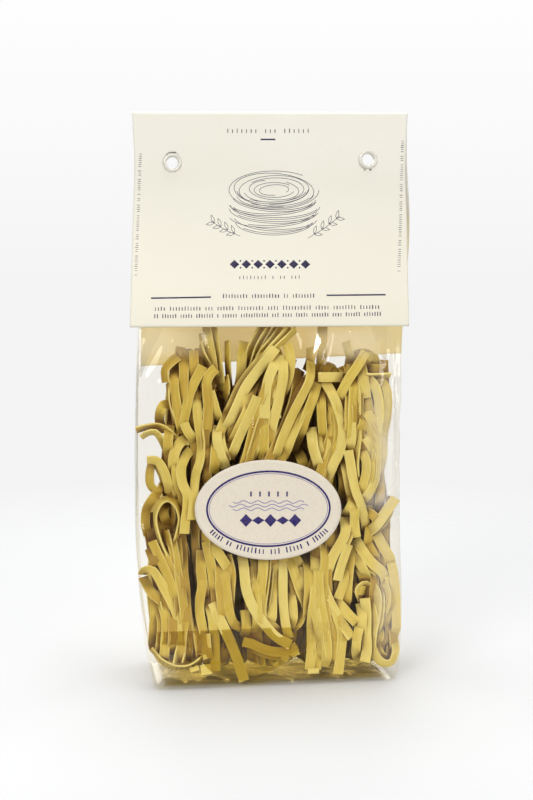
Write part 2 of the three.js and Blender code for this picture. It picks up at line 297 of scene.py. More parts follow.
class Look:
    """A material, written as Python."""

    def __init__(self, name):
        self.material = bpy.data.materials.new(name)
        self.material.use_nodes = True
        self.tree = self.material.node_tree
        self.tree.nodes.clear()

    def node(self, kind, values=None, out=0, **settings):
        return Wire(self.tree, grow(self.tree, kind, values, settings).outputs[out])

    def place(self):
        return self.node("ShaderNodeTexCoord", out="Object")

    def attribute(self, name):
        return self.node("ShaderNodeAttribute", out="Fac", attribute_name=name)

    def noise(self, where, scale, detail=2.0, rough=0.5):
        values = {"Vector": where, "Scale": scale, "Detail": detail, "Roughness": rough}
        return self.node("ShaderNodeTexNoise", values, "Fac")

    def color(self, mask, first, second):
        values = {"Factor": mask, 6: first, 7: second}
        return self.node("ShaderNodeMix", values, 2, data_type="RGBA")

    def vector(self, x, y, z):
        return self.node("ShaderNodeCombineXYZ", {0: x, 1: y, 2: z})

    def part(self, vector, axis):
        return self.node("ShaderNodeSeparateXYZ", {0: vector}, axis)

    def times(self, vector, scale):
        return self.node("ShaderNodeVectorMath", {0: vector, 1: scale}, operation="MULTIPLY")

    def bump(self, height, strength, distance_mm):
        values = {"Height": height, "Strength": strength, "Distance": distance_mm * MM}
        return self.node("ShaderNodeBump", values, "Normal")

    def surface(self, **values):
        named = {name.replace("_", " "): value for name, value in values.items()}
        return self.node("ShaderNodeBsdfPrincipled", named)

    def clear(self, color):
        return self.node("ShaderNodeBsdfTransparent", {"Color": color})

    def matt(self, color):
        return self.node("ShaderNodeBsdfDiffuse", {"Color": color})

    def glossy(self, color, roughness, normal):
        values = {"Color": color, "Roughness": roughness, "Normal": normal}
        return self.node("ShaderNodeBsdfGlossy", values)

    def blend(self, share, first, second):
        return self.node("ShaderNodeMixShader", {0: share, 1: first, 2: second})

    def done(self, shader):
        grow(self.tree, "ShaderNodeOutputMaterial", {"Surface": shader})
        return self.material


def paint(red, green, blue):
    """A colour as a paint maker writes it, 0 to 255, in the linear values that nodes use."""
    share = [v / 255 for v in (red, green, blue)]
    linear = [v / 12.92 if v <= 0.04045 else ((v + 0.055) / 1.055) ** 2.4 for v in share]
    return (*linear, 1.0)


def link(mesh, name):
    piece = bpy.data.objects.new(name, mesh)
    bpy.context.scene.collection.objects.link(piece)
    return piece


def plain_mesh(name, points, faces, material):
    """A piece of the pack from points in millimetres."""
    mesh = bpy.data.meshes.new(name)
    mesh.from_pydata((np.asarray(points, float) * MM).tolist(), [], [list(f) for f in faces])
    mesh.materials.append(material)
    mesh.polygons.foreach_set("use_smooth", [True] * len(mesh.polygons))
    mesh.validate()
    return link(mesh, name)


def store(mesh, name, values):
    """A number at every point, for a material or a tree to read."""
    layer = mesh.attributes.new(name, "FLOAT", "POINT")
    layer.data.foreach_set("value", np.asarray(values, np.float32))


def grid_faces(rows, columns, first=0, is_round=False):
    """The faces between rows of points. A round grid joins its last column to its first."""
    faces = []
    for r in range(rows - 1):
        low, high = first + r * columns, first + (r + 1) * columns
        for c in range(columns if is_round else columns - 1):
            d = (c + 1) % columns
            faces.append((low + c, low + d, high + d, high + c))
    return faces


def fan_faces(middle, first, count):
    """The faces between a middle point and a closed ring of points."""
    return [(middle, first + i, first + (i + 1) % count) for i in range(count)]


def turned_over(faces):
    """The same faces, looking the other way."""
    return [(face[0], *reversed(face[1:])) for face in faces]


def disc_faces(circles, spokes):
    """Circles of points round point 0."""
    return fan_faces(0, 1, spokes) + turned_over(grid_faces(circles, spokes, 1, True))


def closed_body(rings):
    """The points through rings with a middle at each end, the faces between, and those that close it."""
    rows, count = rings.shape[:2]
    points = np.concatenate([rings.reshape(-1, 3), [rings[0].mean(0), rings[-1].mean(0)]])
    foot = turned_over(fan_faces(rows * count, 0, count))
    crown = fan_faces(rows * count + 1, (rows - 1) * count, count)
    return points, grid_faces(rows, count, is_round=True), foot + crown


# %% [markdown]
# ## Ribbons
#
# Noodles, printed lines and rings are all the same thing: a flat bar that follows a path.
# A Geometry Nodes tree sweeps a rounded rectangle along each polyline. The polylines carry,
# at every point, the direction the flat side faces, a size factor and the numbers that the
# material reads. Sweeping with stored directions keeps a ribbon from spinning, and a noodle
# may twist exactly where it should.

# %% The sweeping tree


def sweep_tree():
    tree = bpy.data.node_groups.new("ribbon along a path", "GeometryNodeTree")
    face = tree.interface
    face.new_socket("Geometry", in_out="INPUT", socket_type="NodeSocketGeometry")
    for name in ("Width", "Thickness", "Rounding"):
        face.new_socket(name, in_out="INPUT", socket_type="NodeSocketFloat")
    face.new_socket("Corner Steps", in_out="INPUT", socket_type="NodeSocketInt")
    face.new_socket("Material", in_out="INPUT", socket_type="NodeSocketMaterial")
    face.new_socket("Geometry", in_out="OUTPUT", socket_type="NodeSocketGeometry")
    given = grow(tree, "NodeGroupInput").outputs

    def stored(name, kind):
        values = {"Name": name}
        return grow(tree, "GeometryNodeInputNamedAttribute", values, {"data_type": kind}).outputs[0]

    rail = grow(tree, "GeometryNodeMeshToCurve", {"Mesh": given["Geometry"]})
    values = {"Curve": rail.outputs[0], "Normal": stored("facing", "FLOAT_VECTOR")}
    aimed = grow(tree, "GeometryNodeSetCurveNormal", values, {"mode": "FREE"})
    values = {"Width": given["Thickness"], "Height": given["Width"]}
    section = grow(tree, "GeometryNodeCurvePrimitiveQuadrilateral", values)
    values = {"Curve": section.outputs[0], "Count": given["Corner Steps"], "Radius": given["Rounding"]}
    rounded = grow(tree, "GeometryNodeFilletCurve", values, {"mode": "POLY"})
    place = grow(tree, "GeometryNodeInputPosition")
    apart = grow(tree, "ShaderNodeSeparateXYZ", {0: place.outputs[0]})
    share = grow(
        tree, "ShaderNodeMath", {0: apart.outputs[1], 1: given["Width"]}, {"operation": "DIVIDE"}
    )
    values = {"Geometry": rounded.outputs[0], "Name": "across", "Value": share.outputs[0]}
    marked = grow(tree, "GeometryNodeStoreNamedAttribute", values, {"domain": "POINT"})
    values = {
        "Curve": aimed.outputs[0],
        "Profile Curve": marked.outputs[0],
        "Scale": stored("size", "FLOAT"),
        "Fill Caps": True,
    }
    swept = grow(tree, "GeometryNodeCurveToMesh", values)
    softened = grow(tree, "GeometryNodeSetShadeSmooth", {"Geometry": swept.outputs[0]})
    whole = grow(tree, "GeometryNodeRealizeInstances", {"Geometry": softened.outputs[0]})
    values = {"Geometry": whole.outputs[0], "Material": given["Material"]}
    colored = grow(tree, "GeometryNodeSetMaterial", values)
    grow(tree, "NodeGroupOutput", {"Geometry": colored.outputs[0]})
    return tree


SWEEP = sweep_tree()


def evaluated(piece, tree, inputs):
    """Runs a tree on a piece and keeps the result as a plain mesh."""
    modifier = piece.modifiers.new("tree", "NODES")
    modifier.node_group = tree
    for item in tree.interface.items_tree:
        if item.in_out == "INPUT" and item.name in inputs:
            modifier[item.identifier] = inputs[item.name]
    graph = bpy.context.evaluated_depsgraph_get()
    made = bpy.data.meshes.new_from_object(piece.evaluated_get(graph))
    piece.modifiers.remove(modifier)
    rough = piece.data
    piece.data = made
    made.name = piece.name
    bpy.data.meshes.remove(rough)
    return piece


SHADE_PLACES = (-0.5, -0.25, 0.0, 0.25, 0.5)  # where a ribbon's shade is known, across its width
NUMBERS = {"size": 1.0, "tone": 1.0, "seed": 1.0, "along": 1.0}
NUMBERS.update({f"shade_{k}": 0.0 for k in range(len(SHADE_PLACES))})


def sweep(name, paths, width, thickness, material, rounding=0.2, corner_steps=2):
    """One piece from many paths. A path is a dict of points, facing, and numbers per point."""
    points = np.concatenate([p["points"] for p in paths])
    edges, first = [], 0
    for p in paths:
        count = len(p["points"])
        edges += [(first + i, first + i + 1) for i in range(count - 1)]
        first += count
    mesh = bpy.data.meshes.new(name)
    mesh.from_pydata((points * MM).tolist(), edges, [])
    facing = mesh.attributes.new("facing", "FLOAT_VECTOR", "POINT")
    facing.data.foreach_set("vector", np.concatenate([p["facing"] for p in paths]).ravel())
    for key, usual in NUMBERS.items():
        numbers = [np.broadcast_to(p.get(key, usual), len(p["points"])) for p in paths]
        store(mesh, key, np.concatenate(numbers))
    inputs = {
        "Width": width * MM,
        "Thickness": thickness * MM,
        "Rounding": rounding * thickness * MM,
        "Corner Steps": corner_steps,
        "Material": material,
    }
    piece = evaluated(link(mesh, name), SWEEP, inputs)
    if piece.data.materials and piece.data.materials[0] is None:
        piece.data.materials.clear()
        piece.data.materials.append(material)
    return piece


TINY = 0.1  # a short way along a direction, to see how the direction turns


def settled_path(points, facing, **numbers):
    """A path of the straight pack, as it lies on the settled one."""
    placed = settled(points)
    turned_facing = (settled(points + facing * TINY) - placed) / TINY
    return {"points": placed, "facing": turned_facing, **numbers}


def ride(piece, slot, *nodes):
    """The piece moves with the pack and may stand for nodes of the part. Its slot is not used."""
    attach(piece, BODY)
    if nodes:
        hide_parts(*nodes)
    print(piece.name, sum(len(f.vertices) - 2 for f in piece.data.polygons), "triangles")


# %% [markdown]
# ## Dry pasta
#
# Dry egg pasta is a matt, slightly grainy yellow. Its colour drifts from pale straw to gold
# between ribbons and along each one, its cut edges are paler and dustier, and fine specks and
# faint lines run along it from the die. The paler edges also carry a painted edge highlight,
# the lowest tones turn to a dark brown that is painted shade, and where ribbons touch the
# colour darkens with painted contact shade. The material reads `along` and `across`, which
# the sweep stored, so that the lines follow every bend.

# %% Finish of the pasta
NOODLE_WIDTH, NOODLE_THICK = 5.2, 0.95
PASTA_PALE, PASTA_MID, PASTA_GOLD = paint(225, 204, 116), paint(209, 182, 76), paint(185, 150, 52)
PASTA_EDGE_AND_HIGHLIGHT, PASTA_SPECK, PASTA_DEEP_SHADE = paint(241, 225, 144), paint(160, 116, 34), paint(122, 84, 20)
CONTACT_SHADE = (0.36, 0.22, 0.08)  # what is left of the light where ribbons touch


def pasta_finish():
    look = Look("dry_pasta")
    along, across, seed = look.attribute("along"), look.attribute("across"), look.attribute("seed")
    tone = look.attribute("tone")
    spot = look.vector(along * 0.16, across * NOODLE_WIDTH, seed)
    drift = look.noise(spot, 0.55, 2)
    streak = look.noise(look.vector(along * 0.05, across * 14, seed), 1.0, 3, 0.6)
    grain = look.noise(look.vector(along, across * NOODLE_WIDTH, seed), 3.2, 3, 0.6)
    spread = tone + (drift - 0.5) * 0.9 + (streak - 0.5) * 0.35
    body = look.color(spread.between(-0.1, 0.6), PASTA_GOLD, PASTA_MID)
    body = look.color((tone + (drift - 0.5) * 0.8).between(0.45, 1.1), body, PASTA_PALE)
    # Low tones turn to a dark brown: painted shade for ribbons that lie deep in the pile or in shadow.
    body = look.color(tone.between(-0.9, 0.05), PASTA_DEEP_SHADE, body)
    # Paler rims: partly the dusty cut edge, partly a painted edge highlight.
    rim = across.size().between(0.41, 0.5) * 0.55
    body = look.color(rim, body, PASTA_EDGE_AND_HIGHLIGHT)
    specks = grain.between(0.62, 0.74) * 0.35
    body = look.color(specks, body, PASTA_SPECK)
    # Painted contact shade: the colour darkens where neighbouring ribbons hide the sky.
    shade = 0.0
    for k, middle in enumerate(SHADE_PLACES):
        hat = 1 - (across - middle).size() * (len(SHADE_PLACES) - 1)
        shade = hat.clamp() * look.attribute(f"shade_{k}") + shade
    brown = look.times(body, CONTACT_SHADE)
    body = look.color(shade.between(0.06, 0.7) * 0.92, body, brown)
    relief = grain * 0.6 + streak * 0.6
    shader = look.surface(
        Base_Color=body,
        Roughness=0.62 + grain * 0.16,
        Normal=look.bump(relief, 0.5, 0.12),
        Subsurface_Weight=0.08,
        Subsurface_Radius=(1.0, 0.7, 0.3),
        Subsurface_Scale=0.0015,
    )
    return look.done(shader)


PASTA = pasta_finish()

# %% [markdown]
# ## The nests behind
#
# A nest is a hank: the fresh ribbon is wound up and down, folded over at both ends and dried.
# Seen from any side but the front, what shows is the outside of each hank, ribbons side by
# side with rounded folds above and below. Each hank is wound here in shells, from the inside
# outwards, as loops over an egg-shaped core. Loops miss the tip of the egg by a little,
# each to another side, as wound ones do.

# %% Wind the hanks
chance = np.random.default_rng(11)
SEEDS = 90  # each ribbon draws its own place in the noise below this
HANK_MIDDLE, HANK_DEPTH, VALLEY_DEPTH = 2.5, 22.0, 13.0  # middle of the cores, and half their depths
HANK_LEVEL = 688.0  # where the pack's foot appears in the camera's view, at two units to a mm
HANK_SQUARENESS, FOOT_SQUARENESS = 2.9, 7.0
FINE_TURNS, LOOP_STEP = 720, 3.0
LOOP_SWING, LOOP_MISS, LOOP_REACH, LOOP_DROP = 0.22, 0.55, 0.97, 0.09  # how unevenly a loop is wound
LOOP_SIZES, LOOP_TURNING = (0.92, 1.04), 0.35
# The deep and dark loop tones are painted shade, for loops that lie inside the pile and between the hanks.
SHELL_TONES, VALLEY_TONES, DEEP_SHADE_TONES, DARK_SHADE_TONES = (-0.25, 0.7), (-0.1, 0.3), (-0.5, 0.05), (-0.9, -0.4)
SHELLS = ((1.0, 13), (0.93, 10))  # share of the core's size, and loops in the shell
HEART_SHARE, HEART_HEIGHT, HEART_LUMPS, HEART_DROP = 0.86, 0.80, 0.05, 0.1
HEART_COLUMNS, HEART_ROWS = 30, 26
# Each hank's left and right edge in the camera's view, and the heights of its foot and its top.
HANKS = {
    "upper_left": (166, 216, 80, 165),
    "upper_middle": (241, 291, 82, 167),
    "upper_right": (313, 344, 82, 158),
    "upper_far_right": (345, 391, 80, 164),
    "lower_left": (152, 191, 7.0, 92),
    "lower_second": (196, 235, 7.2, 93),
    "lower_middle": (241, 303, 7.0, 94),
    "lower_right": (309, 350, 7.0, 92),
    "lower_far_right": (356, 397, 7.0, 93),
}
# Thin hanks that lie deeper, in the valleys between the others.
VALLEYS = {
    "upper_first": (210, 248, 84, 147),
    "upper_second": (282, 318, 84, 140),
    "upper_third": (333, 354, 84, 155),
    "lower_first": (183, 204, 7.0, 92),
    "lower_second": (226, 250, 7.0, 84),
    "lower_third": (296, 316, 7.0, 92),
    "lower_fourth": (342, 364, 7.0, 92),
}
LOWEST, LEAST_GAP = 6.6, 0.3  # height of the lowest loops, and of any laid ribbon's lower edge


def egg(t):
    """How far an egg-shaped core reaches to the side and up, at an angle round its height."""
    power = 2 / np.where(np.sin(t) < 0, FOOT_SQUARENESS, HANK_SQUARENESS)
    side = np.sign(np.cos(t)) * np.abs(np.cos(t)) ** power
    rise = np.sign(np.sin(t)) * np.abs(np.sin(t)) ** power
    return side, rise


def run_length(points):
    steps = np.linalg.norm(np.diff(points, axis=0), axis=1)
    return np.concatenate([[0], np.cumsum(steps)])


def read_off(values, length, places):
    """What the columns of values are at places along a path."""
    return np.stack([np.interp(places, length, column) for column in values.T], -1)


def toned(path, tone):
    """Gives a path its tone and its own seed."""
    path["tone"] = tone
    path["seed"] = chance.uniform(0, SEEDS)
    return path


def hank_loop(core, share, turn, wander):
    """One closed loop of ribbon over an egg-shaped core, and the way its flat side faces."""
    (cx, cy, cz), (ax, ay, az) = core
    size = np.array([ax, ay, az]) * share
    t = np.linspace(0, 2 * np.pi, FINE_TURNS + 1)
    side, rise = egg(t)
    heading = turn + LOOP_SWING * np.sin(t + wander[0] * 6)
    drift = (1 - side**2) * LOOP_MISS
    x = side * np.cos(heading) + drift * wander[1] * np.sin(heading)
    y = side * np.sin(heading) - drift * wander[1] * np.cos(heading)
    flat = np.hypot(x, y)
    shrink = np.minimum(1, LOOP_REACH / np.maximum(flat, 1e-6))
    x, y = x * shrink, y * shrink
    up = rise * (1 + LOOP_DROP * np.minimum(wander[2], 0) * (rise > 0))
    points = np.stack([x, y, up], -1) * size + [cx, cy, cz]
    points[:, 2] = np.maximum(points[:, 2], LOWEST + 0.5 * rise**2)
    radial = np.maximum(np.hypot(x, y), 1e-3)
    pull = np.stack([x / radial, y / radial, np.sign(rise) * np.abs(rise) ** 3 * 1.2], -1)
    pull[:, :2] *= (radial[:, None]) ** 2
    facing = pull / np.array([ax, ay, az * 0.5])
    length = run_length(points)
    even = np.linspace(0, length[-1], int(length[-1] / LOOP_STEP), endpoint=False)
    points, facing = read_off(points, length, even), read_off(facing, length, even)
    return points, facing / np.linalg.norm(facing, axis=1)[:, None]


# Loops of the inner shell and of the valleys get darker tones: painted shade.
def loop_tones(name, share):
    if name == "valley_upper_first":
        return DARK_SHADE_TONES
    if "valley_lower" in name:
        return VALLEY_TONES
    return DEEP_SHADE_TONES if share < 1 or "valley" in name else SHELL_TONES


def closed(values):
    return np.concatenate([values, values[:2]])


def hank_core(edges, depth=HANK_DEPTH):
    left, right, z0, z1 = edges
    level = HANK_LEVEL - (z0 + z1)
    (x0, _), (x1, _) = from_view([(left, level), (right, level)], lambda x, z: 0 * x + depth)
    return ((x0 + x1) / 2, HANK_MIDDLE, (z0 + z1) / 2), ((x1 - x0) / 2, depth, (z1 - z0) / 2)


cores = {name: hank_core(edges) for name, edges in HANKS.items()}
cores.update({"valley_" + name: hank_core(edges, VALLEY_DEPTH) for name, edges in VALLEYS.items()})
wound = {name: [] for name in cores}
for name, core in cores.items():
    for share, loops in SHELLS:
        for k in range(loops):
            turn = math.pi * (k + LOOP_TURNING * chance.uniform(-1, 1)) / loops
            points, facing = hank_loop(core, share, turn, chance.uniform(-1, 1, 3))
            loop = {"points": closed(points), "facing": closed(facing), "size": chance.uniform(*LOOP_SIZES)}
            loop["along"] = run_length(loop["points"])
            wound[name].append(toned(loop, chance.uniform(*loop_tones(name, share))))
print(sum(len(v) for v in wound.values()), "loops in", len(wound), "hanks")


def heart(core):
    """The close-packed middle of a hank, as one lumpy closed body, dark with painted shade."""
    (cx, cy, cz), (ax, ay, az) = core
    tilt = np.linspace(-np.pi / 2, np.pi / 2, HEART_ROWS + 2)[1:-1, None]
    turn = np.linspace(0, 2 * np.pi, HEART_COLUMNS, endpoint=False)[None, :]
    side, rise = egg(tilt)
    lumps = HEART_SHARE * (1 + HEART_LUMPS * np.sin(7 * turn + 3 * np.sin(2 * tilt)))
    x, y = side * np.cos(turn) * lumps, side * np.sin(turn) * lumps
    z = (0 * x + rise * HEART_HEIGHT) * az + cz - HEART_DROP * az
    points, faces, ends = closed_body(np.stack([x * ax + cx, y * ay + cy, np.maximum(z, LOWEST)], -1))
    return points, faces + ends


# The hearts are coloured dark brown as painted shade, where the middle of a hank lies in shadow.
def shade_finish():
    look = Look("pasta_shade")
    where = look.place()
    strands = look.noise(look.times(where, (420, 420, 50)), 1.0, 3, 0.6)
    tint = look.color(strands.between(0.35, 0.7), paint(96, 58, 8), paint(150, 106, 30))
    relief = look.bump(strands, 0.6, 1.0)
    return look.done(look.surface(Base_Color=tint, Roughness=0.85, Normal=relief, Specular_IOR_Level=0.1))


points, faces, first = [], [], 0
for core in cores.values():
    p, f = heart(core)
    points.append(p)
    faces += [tuple(first + i for i in face) for face in f]
    first += len(p)
hearts = plain_mesh("hank_hearts", settled(np.concatenate(points)), faces, shade_finish())
ride(hearts, "dry_pasta", "filled_bag")

# %% [markdown]
# ## Laying ribbons on a pile
#
# The ribbons that press against the front film cross over each other. Solving that as a
# simulation is slow and hard to steer, so the pile is kept as a map: for each half millimetre
# across and up, how far out the pasta reaches so far. A new ribbon is stiff, so it rests on
# the highest things under it and bridges the hollows. Its path comes from the map under its
# footprint, smoothed, and then it is added to the map itself.

# %% The pile map
CELL = 0.5
PILE_HALF, PILE_TOP = 70.0, 215.0
PILE_START = 12.0  # how far out the map begins, well inside the hanks
STIFF_STEPS = 4  # samples on each side over which a ribbon evens out
LAY_STEP, CURVE_STEPS = 1.5, 24
FILM_CLEARANCE = 0.7
DIVE, DIVE_LENGTH = 3.6, 7.0
FIRM_LENGTH = 16.0  # an end that hangs free keeps its height over this length
TILT_MOST, TILT_SHARE = 0.5, 0.7  # slope of what lies below, and how far a ribbon takes it up
NESTING = 0.36  # share of its width that a ribbon on edge sinks between its neighbours
ACROSS = np.linspace(-1, 1, 7)


def bell(count):
    w = np.cos(np.linspace(-0.5, 0.5, 2 * count + 1) * np.pi * 0.96)
    return w / w.sum()


def run_on(values, count):
    """Values with their first and last one repeated before and after them."""
    return np.concatenate([np.full(count, values[0]), values, np.full(count, values[-1])])


def evened(values, count=STIFF_STEPS):
    return np.convolve(run_on(values, count), bell(count), "valid")


def highest_near(values, count=STIFF_STEPS):
    longer = run_on(values, count)
    return np.max([longer[i : i + len(values)] for i in range(2 * count + 1)], axis=0)


def sideways(points, facing):
    side = np.cross(np.gradient(points, axis=0), facing)
    return side / np.maximum(np.linalg.norm(side, axis=1), 1e-9)[:, None]


class Pile:
    """How far out the pasta reaches so far on one face of the pack."""

    def __init__(self, is_front):
        self.outward = -1 if is_front else 1
        self.film = front_out if is_front else back_out
        size = (int(2 * PILE_HALF / CELL) + 1, int(PILE_TOP / CELL) + 1)
        self.map = np.full(size, PILE_START)

    def cells(self, x, z):
        i = np.clip(np.rint((x + PILE_HALF) / CELL).astype(int), 0, self.map.shape[0] - 1)
        j = np.clip(np.rint(z / CELL).astype(int), 0, self.map.shape[1] - 1)
        return i, j

    def raise_to(self, x, z, out):
        np.maximum.at(self.map, self.cells(x, z), out)

    def take_loop(self, path):
        """Adds a hank's loop that is already in place."""
        side = sideways(path["points"], path["facing"])
        for share in ACROSS:
            p = path["points"] + side * share * NOODLE_WIDTH / 2
            p = p[p[:, 1] * self.outward > 0]
            self.raise_to(p[:, 0], p[:, 2], p[:, 1] * self.outward + NOODLE_THICK / 2)

    def lay(self, x, z, twist, size=1.0, sink=0.0, open_ends=(False, False)):
        """Lays a ribbon along x, z with a twist at each point. Returns its path in space.

        An end that isn't open dives in among the ribbons below."""
        width, thick = NOODLE_WIDTH * size, NOODLE_THICK * size
        dx, dz = np.gradient(x), np.gradient(z)
        span = np.maximum(np.hypot(dx, dz), 1e-6)
        sx, sz = dz / span, -dx / span
        half = width / 2 * np.abs(np.cos(twist)) + thick / 2 * np.abs(np.sin(twist))
        above = np.flatnonzero(z > LEAST_GAP + half * np.abs(sz))
        whole = slice(above[0], above[-1] + 1)
        x, z, twist, dx, dz, sx, sz, half = (v[whole] for v in (x, z, twist, dx, dz, sx, sz, half))
        offsets = ACROSS[:, None] * half
        under = self.map[self.cells(x + sx * offsets, z + sz * offsets)]
        slope = (offsets * under).sum(0) / (offsets**2).sum(0)
        tilt = evened(np.clip(slope, -TILT_MOST, TILT_MOST) * TILT_SHARE)
        rise = width / 2 * np.abs(np.sin(twist)) + thick / 2 * np.abs(np.cos(twist))
        nested = width * NESTING * np.abs(np.sin(twist)) + sink
        need = (under - tilt * offsets).max(0) + rise - nested
        out = evened(highest_near(need))
        length = run_length(np.stack([x, z], -1))
        ends = (length, length[-1] - length)
        for is_open, away in zip(open_ends, ends):
            if is_open:
                firm = out[np.abs(away - min(FIRM_LENGTH, 0.5 * length[-1])).argmin()]
                out = np.where(away < FIRM_LENGTH, np.maximum(out, firm), out)
        out = np.minimum(out, evened(self.film(x, z)) - FILM_CLEARANCE - rise)
        for is_open, away in zip(open_ends, ends):
            if not is_open:
                out = out - DIVE * smooth(1 - away / min(DIVE_LENGTH, 0.4 * length[-1]))
        spread = ((x + sx * offsets), (z + sz * offsets), (out + tilt * offsets + rise))
        self.raise_to(*(v.ravel() for v in spread))
        run = np.stack([dx, np.gradient(out) * self.outward, dz], -1)
        run /= np.linalg.norm(run, axis=1)[:, None]
        side = np.stack([sx, tilt * self.outward, sz], -1)
        side -= run * (side * run).sum(1)[:, None]
        side /= np.linalg.norm(side, axis=1)[:, None]
        flat = np.cross(side, run)
        flat *= np.sign(flat[:, 1] * self.outward)[:, None]
        facing = flat * np.cos(twist)[:, None] + side * np.sin(twist)[:, None]
        points = np.stack([x, out * self.outward, z], -1)
        return {"points": points, "facing": facing, "size": size, "along": run_length(points)}


def curve_through(marks):
    """A smooth curve through a few marks, sampled at even steps, with the share of its length."""
    marks = np.array(marks, float)
    longer = np.concatenate([[2 * marks[0] - marks[1]], marks, [2 * marks[-1] - marks[-2]]])
    fine, shares = [], []
    for i in range(len(marks) - 1):
        a, b, c, d = longer[i : i + 4]
        t = np.linspace(0, 1, CURVE_STEPS, endpoint=False)[:, None]
        bend = 2 * b + (c - a) * t + (2 * a - 5 * b + 4 * c - d) * t**2 + (3 * b - a - 3 * c + d) * t**3
        fine.append(bend / 2)
        shares.append(i + t[:, 0])
    fine = np.concatenate([*fine, marks[-1:]])
    shares = np.concatenate([*shares, [len(marks) - 1]])
    length = run_length(fine)
    count = max(4, int(length[-1] / LAY_STEP))
    even = np.linspace(0, length[-1], count + 1)
    return read_off(fine, length, even), np.interp(even, length, shares) / (len(marks) - 1)


front_pile, back_pile = Pile(True), Pile(False)
for loops in wound.values():
    for path in loops:
        front_pile.take_loop(path)
        back_pile.take_loop(path)
print("front pile starts at", round(float(np.percentile(front_pile.map, 90)), 1), "mm out")

# %% [markdown]
# ## The ribbons at the front
#
# Here each ribbon that shows is laid one by one, from the deepest to the nearest. A ribbon is its
# tone, its turn in degrees (0 lies flat, 90 stands on edge, two numbers turn it along its
# length) and the marks it runs through in the camera's view. An end that is named lies open
# instead of diving in, and a ribbon that is "alone" never has a partner beside it.

# %% Upper left nest
# The darkest tones, SHADE and DEEP, are painted shade for ribbons that lie in shadow.
SHADE, DEEP, TAN, MID, FAIR, PALE = -0.45, 0.0, 0.2, 0.42, 0.65, 0.95
BY_HAND = {}

BY_HAND["upper_left"] = [
    (DEEP, 0, [(209, 440), (208, 455), (208, 470), (205, 490)]),
    (PALE, 35, [(207, 328), (210, 345), (213, 362), (216, 384)]),
    (PALE, 45, [(214, 328), (217, 348), (220, 372), (222, 392)]),
    (MID, 60, [(201, 346), (204, 354), (209, 364)]),
    (FAIR, 60, [(229, 343), (229, 362), (230, 380), (232, 396)]),
    (MID, 66, [(226, 378), (227, 388), (226, 402)]),
    (TAN, 0, [(181, 350), (180, 358), (179, 368)]),
    (MID, 0, [(194, 352), (194, 370), (193, 388), (191, 404)]),
    (MID, 0, [(184, 354), (184, 374), (183, 394), (182, 412), (184, 428)]),
    (MID, 0, [(175, 364), (174, 382), (176, 400), (179, 418), (183, 436)]),
    (TAN, 70, [(168, 384), (169, 400), (173, 416), (178, 432)]),
    (MID, 35, [(178, 358), (171, 363), (165, 371), (166, 383)], "end"),
    (FAIR, 25, [(170, 405), (163, 406), (160, 414), (160, 424), (164, 436)]),
    (MID, 0, [(207, 372), (207, 390), (208, 408), (207, 426), (205, 440)]),
    (FAIR, 10, [(216, 368), (210, 374), (206, 384), (205, 396)], "start"),
    (FAIR, 0, [(203, 366), (196, 379), (190, 392), (187, 405), (184, 420), (183, 434)], "start"),
    (PALE, 38, [(210, 391), (213, 401), (216, 411), (221, 424)], "start"),
    (FAIR, 0, [(176, 428), (173, 440), (175, 455)]),
    (FAIR, 50, [(136, 431), (146, 428), (158, 427), (168, 431), (176, 441)], "start"),
    (PALE, (55, 20), [(141, 438), (149, 433), (156, 433), (162, 441), (167, 454), (170, 470), (171, 490)],
     "start"),
    (PALE, 40, [(147, 460), (157, 461), (163, 469), (167, 480), (170, 495)], "start"),
    (MID, 30, [(152, 466), (150, 476), (151, 487), (158, 492), (164, 486)]),
    (FAIR, 0, [(170, 426), (168, 440), (168, 455)]),
    (PALE, 0, [(184, 422), (187, 430), (195, 441)], "start"),
    (PALE, 10, [(190, 441), (182, 441), (176, 449), (173, 462), (175, 480), (178, 494), (182, 503)]),
    (PALE, 0, [(191, 451), (185, 457), (181, 468), (182, 482), (187, 494), (187, 508), (185, 521),
     (184, 533)], "end"),
    (PALE, (0, 15), [(197, 391), (197, 408), (199, 428), (201, 445), (200, 460), (196, 474), (194, 492),
     (191, 519)], "end"),
]

# %% Upper middle nest
BY_HAND["upper_middle"] = [
    (MID, 50, [(246, 384), (248, 366), (252, 350), (260, 334), (266, 326)]),
    (FAIR, 58, [(250, 376), (255, 358), (262, 342), (272, 326)]),
    (MID, 55, [(256, 370), (262, 354), (270, 340), (281, 326)]),
    (FAIR, 40, [(260, 366), (268, 352), (278, 341), (292, 327)]),
    (MID, 50, [(268, 358), (280, 345), (297, 331)]),
    (DEEP, 0, [(217, 440), (215, 455), (214, 474)]),
    (MID, 10, [(288, 344), (291, 358), (290, 372), (286, 386), (281, 400)], "alone"),
    (FAIR, 0, [(283, 356), (283, 376), (280, 392), (277, 406), (273, 422), (269, 440)], "alone"),
    (TAN, 0, [(264, 414), (264, 430), (264, 444), (263, 460)]),
    (DEEP, 50, [(260, 406), (254, 424), (248, 444), (242, 462)]),
    (MID, 20, [(262, 422), (257, 440), (251, 460)]),
    (MID, 0, [(246, 344), (243, 360), (242, 378), (239, 392), (233, 404), (227, 416), (221, 430),
     (217, 446)]),
    (FAIR, 0, [(262, 374), (252, 390), (244, 406), (236, 424), (229, 440), (224, 460)]),
    (FAIR, 0, [(254, 388), (247, 402), (239, 419), (232, 436), (227, 452), (224, 468)]),
    (FAIR, 0, [(257, 396), (251, 410), (243, 427), (236, 443), (230, 460)], "start"),
    (PALE, 0, [(218, 426), (217, 440), (220, 452), (226, 468)]),
    (PALE, 0, [(276, 348), (266, 361), (256, 374), (246, 388), (239, 401), (232, 416), (225, 432)],
     "start"),
    (PALE, 0, [(280, 356), (272, 370), (267, 384), (265, 400), (264, 418)], "end"),
    (TAN, 60, [(270, 400), (266, 420), (262, 440)]),
    (FAIR, 20, [(277, 420), (273, 430), (268, 441)], "end"),
    (PALE, 60, [(281, 403), (277, 410), (279, 418)], "end"),
]

